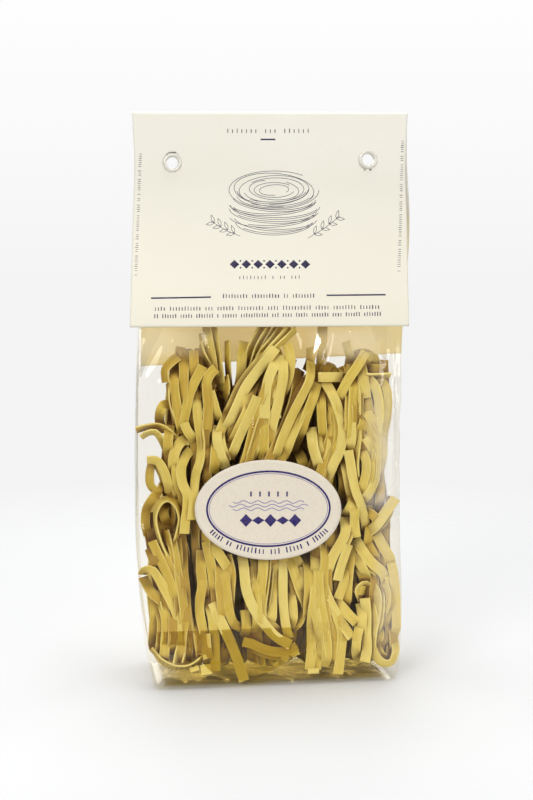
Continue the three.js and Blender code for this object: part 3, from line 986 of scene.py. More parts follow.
# %% Upper right nest
BY_HAND["upper_right"] = [
    (MID, 0, [(326, 328), (325, 346), (325, 366)]),
    (TAN, 30, [(314, 350), (313, 362), (310, 374)]),
    (SHADE, 60, [(306, 378), (296, 398), (287, 416), (279, 436), (272, 458)]),
    (DEEP, 0, [(322, 378), (316, 392), (308, 408)]),
    (DEEP, 0, [(312, 412), (311, 428), (306, 446)]),
    (TAN, 30, [(303, 440), (307, 450), (311, 458)]),
    (TAN, 0, [(296, 446), (302, 458), (308, 474)]),
    (MID, 0, [(318, 384), (311, 402), (305, 418), (301, 432), (297, 446), (292, 462)]),
    (FAIR, 30, [(314, 388), (305, 406), (297, 424), (290, 440), (284, 458)]),
    (FAIR, 0, [(313, 364), (309, 380), (300, 398), (292, 414), (285, 430), (279, 445), (274, 462)],
     "alone"),
    (MID, 0, [(322, 392), (321, 410), (322, 426), (324, 442)]),
    (MID, 0, [(329, 396), (334, 412), (335, 428), (333, 444), (326, 462)]),
    (FAIR, 0, [(332, 428), (331, 443), (328, 457), (322, 472)]),
    (PALE, 0, [(312, 428), (312, 442), (315, 455), (321, 472)]),
    (PALE, 0, [(326, 382), (333, 396), (338, 409), (342, 424), (342, 438), (339, 452), (333, 464),
     (326, 480)]),
    (PALE, 0, [(319, 378), (331, 378), (343.5, 378)], "start", "end"),
]

# %% Far right nest
BY_HAND["upper_far_right"] = [
    (MID, 20, [(350, 344), (352, 354), (356, 366)]),
    (TAN, 0, [(366, 370), (378, 370.5), (389, 371)]),
    (TAN, 0, [(366, 412), (363, 424), (358, 436)]),
    (TAN, 0, [(344, 455), (343, 468), (345, 482), (346, 500)]),
    (FAIR, 0, [(378, 377), (386, 388), (388, 402), (387, 418), (384, 434), (383, 452), (381, 470)]),
    (PALE, 0, [(367, 377), (374, 385), (378, 397), (379, 412), (377, 430), (375, 446)]),
    (MID, 0, [(354, 376), (353, 394), (352, 412), (352, 430), (350, 450)]),
    (FAIR, 0, [(361, 404), (369, 416), (376, 429), (380, 443), (380, 460), (378, 480)]),
    (TAN, 30, [(360, 412), (366, 422), (373, 432)]),
    (FAIR, 0, [(362, 364), (364, 380), (366, 398)], "end"),
    (PALE, 75, [(366, 375.5), (378, 375.5), (391, 376)], "start", "end"),
    (PALE, 45, [(357, 380), (357, 400), (357, 420), (357, 445), (356, 470), (357, 486)]),
    (MID, 0, [(366, 352), (358, 365), (349, 378), (342, 391), (337, 404)], "start"),
    (PALE, 0, [(358, 430), (366, 438), (373, 450), (376, 464), (374, 480), (369, 492), (362, 504)]),
    (FAIR, 5, [(358, 446), (364, 455), (366, 466), (364, 480), (358, 496)]),
    (FAIR, 50, [(339, 471), (344, 474), (350, 479)]),
    (PALE, 0, [(351, 422), (351, 436), (350, 452)], "start"),
    (PALE, 0, [(348, 450), (350, 462), (352, 476), (355, 490), (360, 503), (364, 516), (369, 533)],
     "start"),
    (FAIR, 0, [(355, 498), (349, 508), (345, 518)]),
]

# %% Lower left nest
BY_HAND["lower_left"] = [
    (TAN, 0, [(167, 503), (164, 514), (168, 527)]),
    (DEEP, 60, [(171, 505), (174, 516), (171, 530)]),
    (DEEP, 0, [(150, 550), (154, 560), (159, 570)]),
    (MID, 25, [(168, 606), (160, 600), (151, 592), (144, 583)]),
    (TAN, 0, [(172, 606), (173, 622), (172, 640), (171, 656)]),
    (DEEP, 60, [(188, 560), (190, 584), (190, 606), (189, 630), (189, 660)]),
    (TAN, 0, [(182, 535), (183, 552), (183, 570), (185, 590), (186, 612), (187, 640), (187, 664)], "alone"),
    (MID, 0, [(177, 540), (178, 558), (179, 576), (182, 595), (184, 615), (182, 636), (180, 664)]),
    (MID, 0, [(160, 492), (152, 501), (147, 513), (146, 527), (149, 541)]),
    (FAIR, 0, [(155, 602), (155, 616), (154, 632), (154, 646), (156, 658)], "alone"),
    (PALE, 65, [(158, 596), (160, 610), (161, 626), (159, 644), (158, 660)]),
    (FAIR, 0, [(161, 600), (165, 614), (166, 628), (165, 642), (164, 664)]),
    (MID, 0, [(170, 536), (174, 552), (177, 570), (180, 590)]),
    (MID, 40, [(166, 532), (170, 548), (173, 566), (176, 584)]),
    (FAIR, 58, [(174, 546), (178, 534), (181, 521), (179, 509), (173, 501), (165, 500)]),
    (PALE, 56, [(170, 500), (161, 502), (156, 512), (156, 526), (160, 541), (165, 556), (169, 572)]),
    (FAIR, 0, [(152, 541), (157, 552), (163, 565), (169, 579), (174, 594), (179, 608)], "start"),
    (PALE, 0, [(143, 578), (145, 572), (152, 570), (159, 579), (166, 592), (173, 606), (179, 620),
     (182, 634), (179, 652)]),
    (PALE, 66, [(176, 664), (178, 652), (182, 640)], "start"),
    (FAIR, 62, [(152, 652), (162, 661), (176, 666), (190, 665), (204, 657)], "end"),
    (FAIR, 72, [(184, 662), (185, 650), (187, 640)], "start"),
]

# %% Lower second nest
BY_HAND["lower_second"] = [
    (DEEP, 0, [(196, 620), (198, 640), (202, 662)]),
    (TAN, 0, [(217, 556), (219, 572), (220, 590), (222, 608), (224, 625)]),
    (TAN, 0, [(224, 636), (226, 650), (226, 666)]),
    (TAN, 0, [(236, 560), (236, 576), (234, 590), (232, 602)]),
    (TAN, 40, [(228, 556), (231, 574), (230, 592), (230, 610)]),
    (TAN, 0, [(202, 552), (201, 568), (203, 584), (205, 600)], "alone"),
    (MID, 0, [(207, 543), (210, 560), (213, 578), (214, 598)]),
    (MID, 0, [(200, 570), (202, 584), (200, 598), (200, 614), (203, 630), (206, 644)], "alone"),
    (FAIR, 0, [(210, 541), (217, 551), (224, 562), (231, 573)]),
    (MID, 0, [(222, 562), (225, 578), (227, 595), (229, 610), (234, 624), (242, 630)], "alone"),
    (MID, 0, [(205, 633), (206, 645), (208, 658)], "start", "end"),
    (FAIR, 0, [(208, 600), (212, 615), (214, 632), (215, 652), (215.5, 671)], "end", "alone"),
    (PALE, 0, [(212.5, 602), (218, 615), (225, 630), (233, 648), (240, 667), (246.5, 688)],
     "start", "end", "alone"),
]

# %% Lower middle nest
BY_HAND["lower_middle"] = [
    (TAN, 0, [(248, 556), (249, 576), (250, 600), (252, 624), (252, 640)]),
    (TAN, 40, [(268, 556), (267, 574), (265, 592), (263, 608), (263, 626)]),
    (MID, 0, [(256, 556), (256, 575), (256, 595), (257, 614), (258, 634)]),
    (MID, 0, [(264, 556), (262, 576), (260, 594), (261, 612), (264, 630)]),
    (TAN, 0, [(291, 560), (293, 576), (295, 592), (295, 608), (293, 622)]),
    (TAN, 50, [(302, 600), (304, 612), (300, 624), (291, 634)]),
    (FAIR, 0, [(277, 556), (275, 574), (273, 590), (272, 606), (271, 618), (268, 628)]),
    (MID, 0, [(291, 560), (295, 574), (300, 590), (306, 604), (308, 616)]),
    (FAIR, 0, [(292, 556), (300, 565), (305, 578), (308, 592)]),
    (FAIR, 30, [(299, 570), (302, 584), (306, 598)]),
    (FAIR, 0, [(290, 590), (292, 604), (293, 617), (291, 630)]),
    (PALE, 0, [(284, 560), (283, 578), (283, 596), (284, 612), (286, 626), (289, 638)], "end"),
    (MID, 0, [(245, 611), (247, 625), (246, 640)], "start"),
    (TAN, 50, [(257, 652), (258, 668)], "end"),
    (MID, 70, [(263, 654), (264, 668)], "end"),
    (TAN, 50, [(270, 654), (271, 667)], "end"),
    (MID, 0, [(281, 652), (281, 668)]),
    (MID, 0, [(243, 642), (252, 644), (263, 649), (276, 652), (288, 651), (297, 646)], "start", "end"),
    (PALE, 0, [(243, 556), (244, 574), (246, 589), (251, 603), (258, 615), (267, 627), (277, 637),
     (290, 644)], "end"),
]

# %% Lower right nests
BY_HAND["lower_right"] = [
    (TAN, 0, [(337, 528), (332, 540), (328, 552)]),
    (DEEP, 0, [(336, 560), (334, 574), (336, 588)]),
    (MID, 0, [(352, 538), (352, 554), (350, 570), (348, 586), (347, 600), (346, 614)]),
    (MID, 0, [(309, 556), (309, 580), (308, 604), (309, 626)]),
    (MID, 0, [(318, 640), (318, 655), (317, 671)], "end"),
    (FAIR, 0, [(316, 552), (315, 570), (314, 590), (312, 610), (312, 630), (312, 650), (310, 671)], "end"),
    (MID, 0, [(325, 546), (324, 562), (323, 580), (325, 596), (329, 610)]),
    (MID, 0, [(334, 604), (337, 620), (336, 638), (333, 654), (327, 668)]),
    (FAIR, 0, [(318, 560), (318, 578), (319, 596), (322, 614), (325, 632), (327, 650), (326, 668)]),
    (FAIR, 40, [(312, 596), (316, 616), (319, 634), (322, 652), (325, 667)]),
    (FAIR, 0, [(331, 600), (336, 614), (341, 630), (341, 648), (338, 674)], "end"),
    (FAIR, 0, [(352, 498), (354, 512), (354.5, 526), (356, 537)], "end"),
    (PALE, 0, [(345, 518), (345, 531), (340, 543), (334, 553), (329, 566), (327, 580)]),
    (FAIR, 0, [(345, 566), (344, 582), (338, 599)], "end"),
    (PALE, 0, [(348, 544), (344, 556), (340, 568), (337, 580)], "start", "end"),
    (FAIR, 0, [(334, 598), (342, 607), (349, 615), (356, 622)], "end"),
    (PALE, 0, [(321, 570), (323, 584), (328, 598), (335, 612), (343, 625), (351, 637)], "end", "alone"),
]

BY_HAND["lower_far_right"] = [
    (TAN, 0, [(367, 541), (373, 553), (379, 564)]),
    (TAN, 0, [(360, 566), (364, 576), (368, 586)]),
    (TAN, 0, [(366, 512), (374, 516), (380, 526)]),
    (TAN, 0, [(388, 600), (387, 616), (384, 632)]),
    (MID, 0, [(379, 628), (380, 636), (377, 645)]),
    (FAIR, 10, [(390, 556), (394, 576), (396, 598), (397, 620), (398, 640)]),
    (FAIR, 10, [(376, 532), (383, 546), (390, 558), (394, 572)]),
    (FAIR, 0, [(357, 541), (364, 553), (372, 563), (382, 572), (388, 586)]),
    (FAIR, 35, [(356, 556), (362, 567), (369, 580)]),
    (FAIR, 20, [(381, 576), (386, 590), (386, 604), (380, 620)]),
    (MID, 0, [(354, 588), (360, 590), (366, 592)]),
    (FAIR, 15, [(371, 638), (374, 652), (381, 662), (391, 664), (397, 655), (398, 640)]),
    (FAIR, 0, [(364, 614), (358, 630), (356, 645), (358, 657), (365, 668)]),
    (FAIR, 50, [(362, 600), (358, 590), (364, 584), (370, 588)]),
    (PALE, 30, [(372, 584), (377, 592), (378, 604), (376, 618), (373, 632), (371, 646)]),
    (FAIR, 45, [(371, 600), (373, 620), (372, 640), (371, 658)]),
    (PALE, 24, [(364.5, 598), (366.5, 613), (366, 632), (367, 649), (365, 662)], "start", "end"),
    (PALE, (0, 30), [(396, 498), (388, 509), (379, 522), (369, 535)], "start"),
]

# %% Lay the front ribbons
NOMINAL_OUT = 25.0
# Each nest's shift of tone. The lifts of upper_middle and lower_middle are painted light against the shadows
# of the card and of the label.
NEST_TONES_AND_LIGHT = {
    "upper_left": -0.26,
    "upper_middle": 0.24,
    "upper_far_right": 0.12,
    "lower_left": -0.3,
    "lower_middle": 0.14,
    "lower_far_right": 0.12,
}
LAID_SIZES = (0.86, 1.0)
SWAY_TURN, SWAY_LENGTH = 14.0, 60.0  # how far a ribbon turns to and fro, in degrees, and how often
# A ribbon of more samples and less turn than these has a partner in this share of cases. The
# partner takes up a stretch of its length, beside it and sunk under it by these millimetres.
PAIRED_LENGTH, PAIRED_TURN, PAIRED_SHARE = 14, 0.7, 0.6
PARTNER_STRETCH, PARTNER_OFFSET, PARTNER_SINK = (0.12, 0.9), (1.5, 2.5), 0.2


def swaying(length):
    """The slow turning to and fro of a ribbon that dried in a bundle."""
    reach_now = SWAY_TURN * np.clip(length[-1] / SWAY_LENGTH - 0.3, 0, 1)
    phase, pace = chance.uniform(0, 2 * np.pi), chance.uniform(0.7, 1.3)
    return np.radians(reach_now * np.sin(2 * np.pi * pace * length / SWAY_LENGTH + phase))


def lay_by_hand(entry, tone_and_light_shift):
    tone, turn, marks, *open_at = entry
    tone = tone + tone_and_light_shift
    track, share = curve_through(from_view(marks, lambda x, z: 0 * x + NOMINAL_OUT))
    turns = np.radians(np.atleast_1d(turn).astype(float))
    twist = np.interp(share, np.linspace(0, 1, len(turns)), turns) + swaying(run_length(track))
    made = []
    is_paired = chance.uniform() < PAIRED_SHARE and "alone" not in open_at
    if is_paired and len(track) > PAIRED_LENGTH and abs(turns).max() < PAIRED_TURN:
        made.append(lay_partner(track, twist, tone))
    open_ends = ("start" in open_at, "end" in open_at)
    path = front_pile.lay(track[:, 0], track[:, 1], twist, chance.uniform(*LAID_SIZES), 0.0, open_ends)
    return [*made, toned(path, tone + chance.uniform(-0.06, 0.06))]


def lay_partner(track, twist, tone):
    """A ribbon wound next to another lies half under it."""
    inner = slice(*(int(share * len(track)) for share in PARTNER_STRETCH))
    way = np.gradient(track, axis=0)
    way /= np.linalg.norm(way, axis=1)[:, None]
    offset = chance.choice([-1, 1]) * chance.uniform(*PARTNER_OFFSET)
    x, z = (track + np.stack([way[:, 1], -way[:, 0]], -1) * offset)[inner].T
    turned_on = twist[inner] + chance.uniform(-0.3, 0.3)
    path = front_pile.lay(x, z, turned_on, chance.uniform(*LAID_SIZES), PARTNER_SINK)
    return toned(path, tone - chance.uniform(0.05, 0.35))


# The bed of each hank that lies behind the listed ribbons: how many ribbons, and their lean.
BEDS = {
    "upper_left": (12, 0.05),
    "upper_middle": (14, 0.35),
    "upper_right": (9, 0.3),
    "upper_far_right": (9, 0.0),
    "lower_left": (9, -0.08),
    "lower_second": (9, 0.0),
    "lower_middle": (12, 0.0),
    "lower_right": (9, 0.05),
    "lower_far_right": (9, 0.0),
}


def lay_bed(name, pile, ribbons, lean):
    """Ribbons side by side over the height of a hank, none of them quite straight."""
    (cx, _, cz), (ax, _, az) = cores[name]
    made = []
    for k in chance.permutation(ribbons):
        across = ax * (2 * (k + chance.uniform(0.2, 0.8)) / ribbons - 1)
        low, high = cz - az * chance.uniform(0.7, 0.93), cz + az * chance.uniform(0.55, 0.93)
        bow, wave = chance.uniform(-3, 3), chance.uniform(-1.5, 1.5)
        heights = np.linspace(low, high, 6)
        part = np.pi * np.linspace(0, 1, 6)
        x = cx + across * 0.84 + lean * (heights - cz) + bow * np.sin(part) + wave * np.sin(2 * part)
        track, _ = curve_through(np.stack([x, heights], -1))
        twist = chance.uniform(-0.5, 0.5) + swaying(run_length(track))
        path = pile.lay(track[:, 0], track[:, 1], twist, chance.uniform(0.8, 0.98))
        # The beds take darker tones: painted shade for ribbons that lie under those laid above them.
        made.append(toned(path, chance.uniform(-0.5, 0.3)))
    return made


laid = {name: lay_bed(name, front_pile, *bed) for name, bed in BEDS.items()}
for name, entries in BY_HAND.items():
    for entry in entries:
        laid[name] += lay_by_hand(entry, NEST_TONES_AND_LIGHT.get(name, 0.0))
outs = np.concatenate([-p["points"][:, 1] for group in laid.values() for p in group])
print(sum(map(len, laid.values())), "ribbons laid,", outs.min().round(1), "to", outs.max().round(1), "mm out")

# %% [markdown]
# ## The ribbons at the back
#
# The back presses against the film in the same way. Nobody arranged it, so a few ribbons per
# hank are laid at random: mostly upright, some leaning, some cut short.

# %% Lay the back ribbons
BACK_RIBBONS = 9
for name in HANKS:
    (cx, _, cz), (ax, _, az) = cores[name]
    for k in range(BACK_RIBBONS):
        foot, head = cx + ax * chance.uniform(-0.9, 0.9, 2)
        low, high = cz - az * chance.uniform(0.5, 0.95), cz + az * chance.uniform(0.3, 0.95)
        bow = ax * chance.uniform(-0.5, 0.5)
        shares = (0, 0.3, 0.6, 1)
        marks = [(mix(foot, head, t) + bow * math.sin(math.pi * t), mix(low, high, t)) for t in shares]
        track, share = curve_through(marks)
        twist = 0 * share + chance.uniform(-0.2, 0.2)
        path = back_pile.lay(track[:, 0], track[:, 1], twist, chance.uniform(0.95, 1.03))
        laid[name].append(toned(path, chance.uniform(0.2, 0.9)))

# %% [markdown]
# ## Shade where ribbons touch
#
# Between close ribbons the light bounces from pasta to pasta and turns brown before it dies.
# That shade is painted into the pasta's colour, and it is what separates one pale ribbon from
# the next. A fine map of the finished pile tells, for five places across each ribbon, how much
# of the sky its neighbours hide, and the pasta's finish darkens its colour by that much.

# %% Look up from every ribbon
SKIN_STEP = 0.3
SHADE_WAYS, SHADE_REACHES = 12, (0.7, 1.3, 2.2, 3.4)
WOUND_SHADE = 0.42
SHADE_TOP, SHADE_SPARED = (156, 168), 0.85  # above this height light comes in from behind too
# Shade is read this near a ribbon's edges, and counts in full on a face that looks this far out.
SHADE_SPREAD, SHADE_TURN = 0.94, 0.5


def cover(pile, path):
    """Adds every point of a ribbon's outer face to the fine map."""
    length = run_length(path["points"])
    even = np.arange(0, length[-1], SKIN_STEP)
    points, facing = (read_off(path[key], length, even) for key in ("points", "facing"))
    side = sideways(points, facing) * NOODLE_WIDTH * np.mean(path["size"]) / 2
    for share in np.linspace(-1, 1, int(NOODLE_WIDTH / SKIN_STEP)):
        p = points + side * share
        out = p[:, 1] * pile.outward + NOODLE_THICK / 2 * np.abs(facing[:, 1])
        pile.raise_to(p[out > 0, 0], p[out > 0, 2], out[out > 0])


def hidden_share(pile, points):
    """How much of the sky over points is hidden by what stands around them."""
    total = 0
    for way in np.linspace(0, 2 * np.pi, SHADE_WAYS, endpoint=False):
        steep = 0
        for reach_now in SHADE_REACHES:
            x, z = points[:, 0] + reach_now * np.cos(way), points[:, 2] + reach_now * np.sin(way)
            above = pile.map[pile.cells(x, z)] - points[:, 1] * pile.outward
            steep = np.maximum(steep, above / reach_now)
        total = total + steep**2 / (1 + steep**2)
    return total / SHADE_WAYS


def add_shade(path, skins, amount):
    side = sideways(path["points"], path["facing"]) * NOODLE_WIDTH * np.mean(path["size"])
    for k, place in enumerate(SHADE_PLACES):
        shades = []
        for skin in skins:
            lift = path["facing"] * np.sign(path["facing"][:, 1:2] * skin.outward) * NOODLE_THICK / 2
            shades.append(hidden_share(skin, path["points"] + side * place * SHADE_SPREAD + lift))
        is_front = path["points"][:, 1] < 0
        turned_out = smooth(np.abs(path["facing"][:, 1]) / SHADE_TURN)
        in_pack = 1 - SHADE_SPARED * ramp(path["points"][:, 2], *SHADE_TOP)
        path[f"shade_{k}"] = np.where(is_front, shades[0], shades[-1]) * turned_out * in_pack * amount


skins = [Pile(True), Pile(False)]
for skin in skins:
    skin.map[:] = 0
for name, paths in wound.items():
    for path in [*paths, *laid.get(name, [])]:
        for skin in skins:
            cover(skin, path)
for name, paths in wound.items():
    for path in paths:
        add_shade(path, skins, WOUND_SHADE)
    for path in laid.get(name, []):
        add_shade(path, skins, 1.0)
shades = np.concatenate([p["shade_2"] for group in laid.values() for p in group])
print("shade along the laid ribbons:", np.percentile(shades, (10, 50, 90)).round(2))

# %% Sweep the pasta
pasta_pieces = []
for name, paths in wound.items():
    for path in [*paths, *laid.get(name, [])]:
        path.update(settled_path(path["points"], path["facing"]))
    pasta_pieces.append(sweep("hank_" + name, paths, NOODLE_WIDTH, NOODLE_THICK, PASTA, corner_steps=1))
    if name in laid:
        pasta_pieces.append(sweep("ribbons_" + name, laid[name], NOODLE_WIDTH, NOODLE_THICK, PASTA))
for piece in pasta_pieces:
    ride(piece, "dry_pasta", "filled_bag")

# %% [markdown]
# ## The film
#
# The film is thin, clear and glossy. It is one sheet, shut at both ends and with holes for the
# eyelets, lofted through the same outlines as the bag, with rounded gusset edges and many
# small sharp creases. One wall is enough: a second one would only double every reflection.

# %% Loft the film
FACE_COLUMNS, SIDE_COLUMNS = 96, 18
FILM_STEP = 1.3
EDGE_ROUNDING = 2  # passes of smoothing around the outline


def film_ring(z):
    """The bag's outline at one height, from its front left edge counterclockwise."""
    w = half_width(z)
    crease = w - crease_depth(z)
    front, back = -front_out(w, z), back_out(w, z)
    middle = (front + back) / 2
    across = np.linspace(-w, w, FACE_COLUMNS, endpoint=False)
    part = np.linspace(0, 1, SIDE_COLUMNS, endpoint=False)
    ring = [
        np.stack([across, -front_out(across, z)], -1),
        np.stack([mix(w, crease, part), mix(front, middle, part)], -1),
        np.stack([mix(crease, w, part), mix(middle, back, part)], -1),
        np.stack([-across, back_out(-across, z)], -1),
        np.stack([mix(-w, -crease, part), mix(back, middle, part)], -1),
        np.stack([mix(-crease, -w, part), mix(middle, front, part)], -1),
    ]
    ring = np.concatenate(ring)
    for _ in range(EDGE_ROUNDING):
        ring = 0.5 * ring + 0.25 * (np.roll(ring, 1, 0) + np.roll(ring, -1, 0))
    return np.column_stack([ring, np.full(len(ring), z)])


film_levels = np.concatenate([[0.02, 0.3, 0.8, 1.6], np.arange(3, PACK_HEIGHT - 1.6, FILM_STEP)])
film_rings = np.array([film_ring(z) for z in film_levels])

# Creases, listed one by one: start and end in the camera's view, height in mm and width in its units.
FOLDS = (
    ((391.5, 345), (391.5, 455), 1.1, 2.2),
    ((396.0, 380), (399.0, 430), -0.9, 2.0),
    ((394.0, 398), (400.0, 404), 0.8, 1.8),
    ((393.0, 412), (400.0, 409), 0.8, 1.8),
    ((133.5, 335), (133.5, 520), -0.9, 2.4),
    ((139.0, 500), (143.0, 655), 0.9, 2.2),
    ((330.0, 326), (319.0, 362), 1.35, 4.6),
    ((350.0, 330), (374.0, 354), 0.9, 2.2),
    ((374.0, 328), (379.0, 366), 0.9, 2.2),
    ((375.0, 328), (391.6, 372), -0.8, 2.0),
    ((300.0, 329), (306.0, 352), 0.8, 2.4),
    ((165.0, 378), (147.0, 412), 0.3, 2.4),
    ((160.0, 345), (141.0, 378), -0.3, 2.6),
    ((150.0, 336), (136.0, 362), 0.25, 2.2),
    ((141.0, 470), (137.0, 560), 0.7, 2.0),
    ((386.0, 560), (394.0, 640), 0.6, 2.2),
    ((150.0, 662), (250.0, 668), 0.7, 2.6),
    ((250.0, 672), (395.0, 664), -0.6, 2.4),
    ((205.0, 329), (212.0, 350), 0.7, 2.6),
)
# Small creases: this share of them starts anywhere up to the top height, the others near the foot.
CREASES, CREASE_TOP, CREASE_FOOT, CREASE_SHARE = 260, 180, 40, 0.7
GIRTH_RING = 60  # the outline along which the way round the bag is measured
QUIET_LABEL, QUIET_FOOT, QUIET_TOP = 0.9, 4, (175, 195)  # where the film is held smooth
FOLD_FADE = 0.25  # share of a fold over which each of its ends fades
crease_chance = np.random.default_rng(5)


def film_normals(rings):
    around = np.roll(rings, -1, 1) - np.roll(rings, 1, 1)
    upwards = np.gradient(rings, axis=0)
    normal = np.cross(around, upwards)
    return normal / np.maximum(np.linalg.norm(normal, axis=2), 1e-9)[..., None]


widest = film_rings[GIRTH_RING]
girth = np.cumsum(np.linalg.norm(np.diff(widest, axis=0, append=widest[:1]), axis=1))
round_place = np.broadcast_to(girth[None, :], film_rings.shape[:2])
up_place = film_rings[..., 2]
relief = np.zeros(film_rings.shape[:2])
for _ in range(CREASES):
    u0 = crease_chance.uniform(0, girth[-1])
    z0 = crease_chance.uniform(0, CREASE_TOP if crease_chance.uniform() < CREASE_SHARE else CREASE_FOOT)
    heading = crease_chance.normal(math.pi / 2, 0.7)
    length, width = crease_chance.uniform(8, 40), crease_chance.uniform(0.8, 2.2)
    du = (round_place - u0 + girth[-1] / 2) % girth[-1] - girth[-1] / 2
    dz = up_place - z0
    along = du * math.cos(heading) + dz * math.sin(heading)
    off = -du * math.sin(heading) + dz * math.cos(heading) + 0.01 * along**2 * crease_chance.uniform(-1, 1)
    fade = np.exp(-((along / length) ** 2))
    relief += crease_chance.uniform(-0.5, 0.5) * fade * np.exp(-np.abs(off) / width)


def fold_relief(points, is_front):
    """Relief of the listed creases."""
    spot = seen(points)
    total = 0 * spot[..., 0]
    for start, end, height, width in FOLDS:
        a, b = np.array(start, float), np.array(end, float)
        length = np.linalg.norm(b - a)
        way = (b - a) / length
        along = (spot - a) @ way / length
        off = (spot - a) @ np.array([-way[1], way[0]])
        fade = smooth(along / FOLD_FADE + 0.5) * smooth((1 - along) / FOLD_FADE + 0.5)
        total += height * fade * np.clip(1 - np.abs(off) / (2 * width), 0, 1)
    return total * is_front


on_front = film_rings[..., 1] < 0
quiet = 1 - QUIET_LABEL * under_label(film_rings[..., 0], up_place) * on_front
quiet = quiet * smooth(up_place / QUIET_FOOT) * (1 - ramp(up_place, *QUIET_TOP))
relief = relief * quiet + fold_relief(settled(film_rings), on_front)
film_points = settled(film_rings + film_normals(film_rings) * relief[..., None])


# Milky places, partly scuffed or doubled film and partly painted sheen: middle, reach across and down, and
# amount.
MILK_AND_SHEEN = (
    (172, 341, 34, 15, 0.16),
    (240, 336, 40, 9, 0.05),
    (350, 343, 40, 16, 0.20),
    (142, 405, 9, 60, 0.10),
    (380, 425, 15, 50, 0.22),
    (388, 470, 10, 32, 0.28),
    (376, 501, 12, 8, 0.30),
    (392, 560, 16, 90, 0.24),
    (166, 665, 18, 14, 0.05),
)
MILK_AND_SHEEN_DEPTH = 20.0  # how far in front of the middle plane the milk reaches its full amount
FILM_TINT, SHINE_TINT, MILK_TINT = (0.995, 0.985, 0.95, 1), (1, 0.96, 0.88, 1), (1, 0.98, 0.93, 1)
# How much the film mirrors: seen straight on, seen from the side, and so at the foot's corners.
FACE_SHINE, EDGE_SHINE, CORNER_SHINE = 0.028, 0.4, 0.06
CORNER_ACROSS, CORNER_UP = (0.045, 0.056), (0.006, 0.02)  # metres from the middle, and from the floor


def milk_and_sheen_of(points):
    """How milky the film is at its points, partly as painted sheen."""
    spot = seen(points)
    total = 0 * spot[..., 0]
    for x, y, across, down, amount in MILK_AND_SHEEN:
        total += amount * np.exp(-(((spot[..., 0] - x) / across) ** 4) - ((spot[..., 1] - y) / down) ** 4)
    return total * np.clip(-points[..., 1] / MILK_AND_SHEEN_DEPTH, 0, 1)


def film_finish():
    look = Look("clear_film")
    slant = look.node("ShaderNodeLayerWeight", {"Blend": 0.5}, "Facing")
    where = look.place()
    fine = look.noise(where, 180, 3, 0.6)
    cloud = look.noise(where, 34, 2, 0.6)
    clear, milk = look.clear(FILM_TINT), look.matt(MILK_TINT)
    shine = look.glossy(SHINE_TINT, 0.06, look.bump(fine, 0.13, 0.3))
    across, up = look.part(where, 0), look.part(where, 2)
    at_corner = across.size().between(*CORNER_ACROSS) * (1 - up.between(*CORNER_UP))
    at_edge = EDGE_SHINE - at_corner * (EDGE_SHINE - CORNER_SHINE)
    body = look.blend((slant**5 * at_edge + FACE_SHINE).clamp(), clear, shine)
    # White matt milk on the film: partly milky film, partly painted sheen.
    milk_and_sheen = look.attribute("milk_and_sheen") * (0.35 + cloud.between(0.3, 0.7) * 0.65)
    return look.done(look.blend(milk_and_sheen, body, milk))


FILM = film_finish()
points, faces, ends = closed_body(film_points)
straight = film_rings.reshape(-1, 3)
faces = [f for f in faces if not in_eyelet(straight[f[0], 0], straight[f[0], 2], FILM_HOLE)]
film = plain_mesh("film", points, faces + ends, FILM)
for end_face in list(film.data.polygons)[-len(ends) :]:
    end_face.use_smooth = False  # or the flat bottom would mirror the lamps as if it were round
store(film.data, "milk_and_sheen", np.append(milk_and_sheen_of(film_points), [0, 0]))
ride(film, "clear_film", "filled_bag")

# %% [markdown]
# ## The folded base
#
# A block bottom is folded from the same film, three and four layers deep. Its amber tint and
# golden matt streaks are painted reflection of the pasta above it and painted shade of the
# floor under it. The base is a fine sheet with a ripple, and the folds stand up from its rim
# and carry the nests.

# %% Fold the base
BASE_INSET, BASE_LEVEL, BASE_RISE, BASE_SLOPE, BASE_RIPPLE = 1.6, 0.6, 5.2, 9.0, 0.16
BASE_COLUMNS, BASE_ROWS = 120, 60
BASE_MIDDLE = 0.001  # metres to the right of the pack's middle
RIM_FADE = 2.8  # the folds thin out over this distance from their rim
NOT_THINNED = (200, 201)  # past the bag's sides, so that a piece thins out nowhere


def folded_finish(name, tint, painted_reflection, thinning, gloss=0.018):
    look = Look(name)
    where = look.place()
    bands = look.noise(look.times(where, (26, 160, 160)), 1.0, 3, 0.65)
    fine = look.noise(where, 240, 3, 0.6)
    shine = look.glossy((1, 1, 1, 1), 0.12, look.bump(fine, 0.4, 0.3))
    body = look.blend(gloss, look.clear(tint), shine)
    body = look.blend(bands.between(0.42, 0.75) * painted_reflection, body, look.matt(paint(180, 154, 88)))
    # Towards the ends and the rim the folds fade to single clear film with pale matt patches: painted warm
    # light.
    single, painted_warm_light = look.clear((0.97, 0.96, 0.93, 1)), look.matt(paint(222, 200, 138))
    plain = look.blend(bands.between(0.3, 0.7) * 0.2, single, painted_warm_light)
    to_end = (look.part(where, 0) - BASE_MIDDLE).size().between(*(v * MM for v in thinning))
    to_rim = 1 - look.attribute("inside").between(0.5, RIM_FADE)
    return look.done(look.blend(to_end.math("MAXIMUM", to_end, to_rim), body, plain))


def folded_piece(name, points, faces, inside, material):
    piece = plain_mesh(name, points, faces, material)
    store(piece.data, "inside", inside)
    ride(piece, "clear_film", "filled_bag")


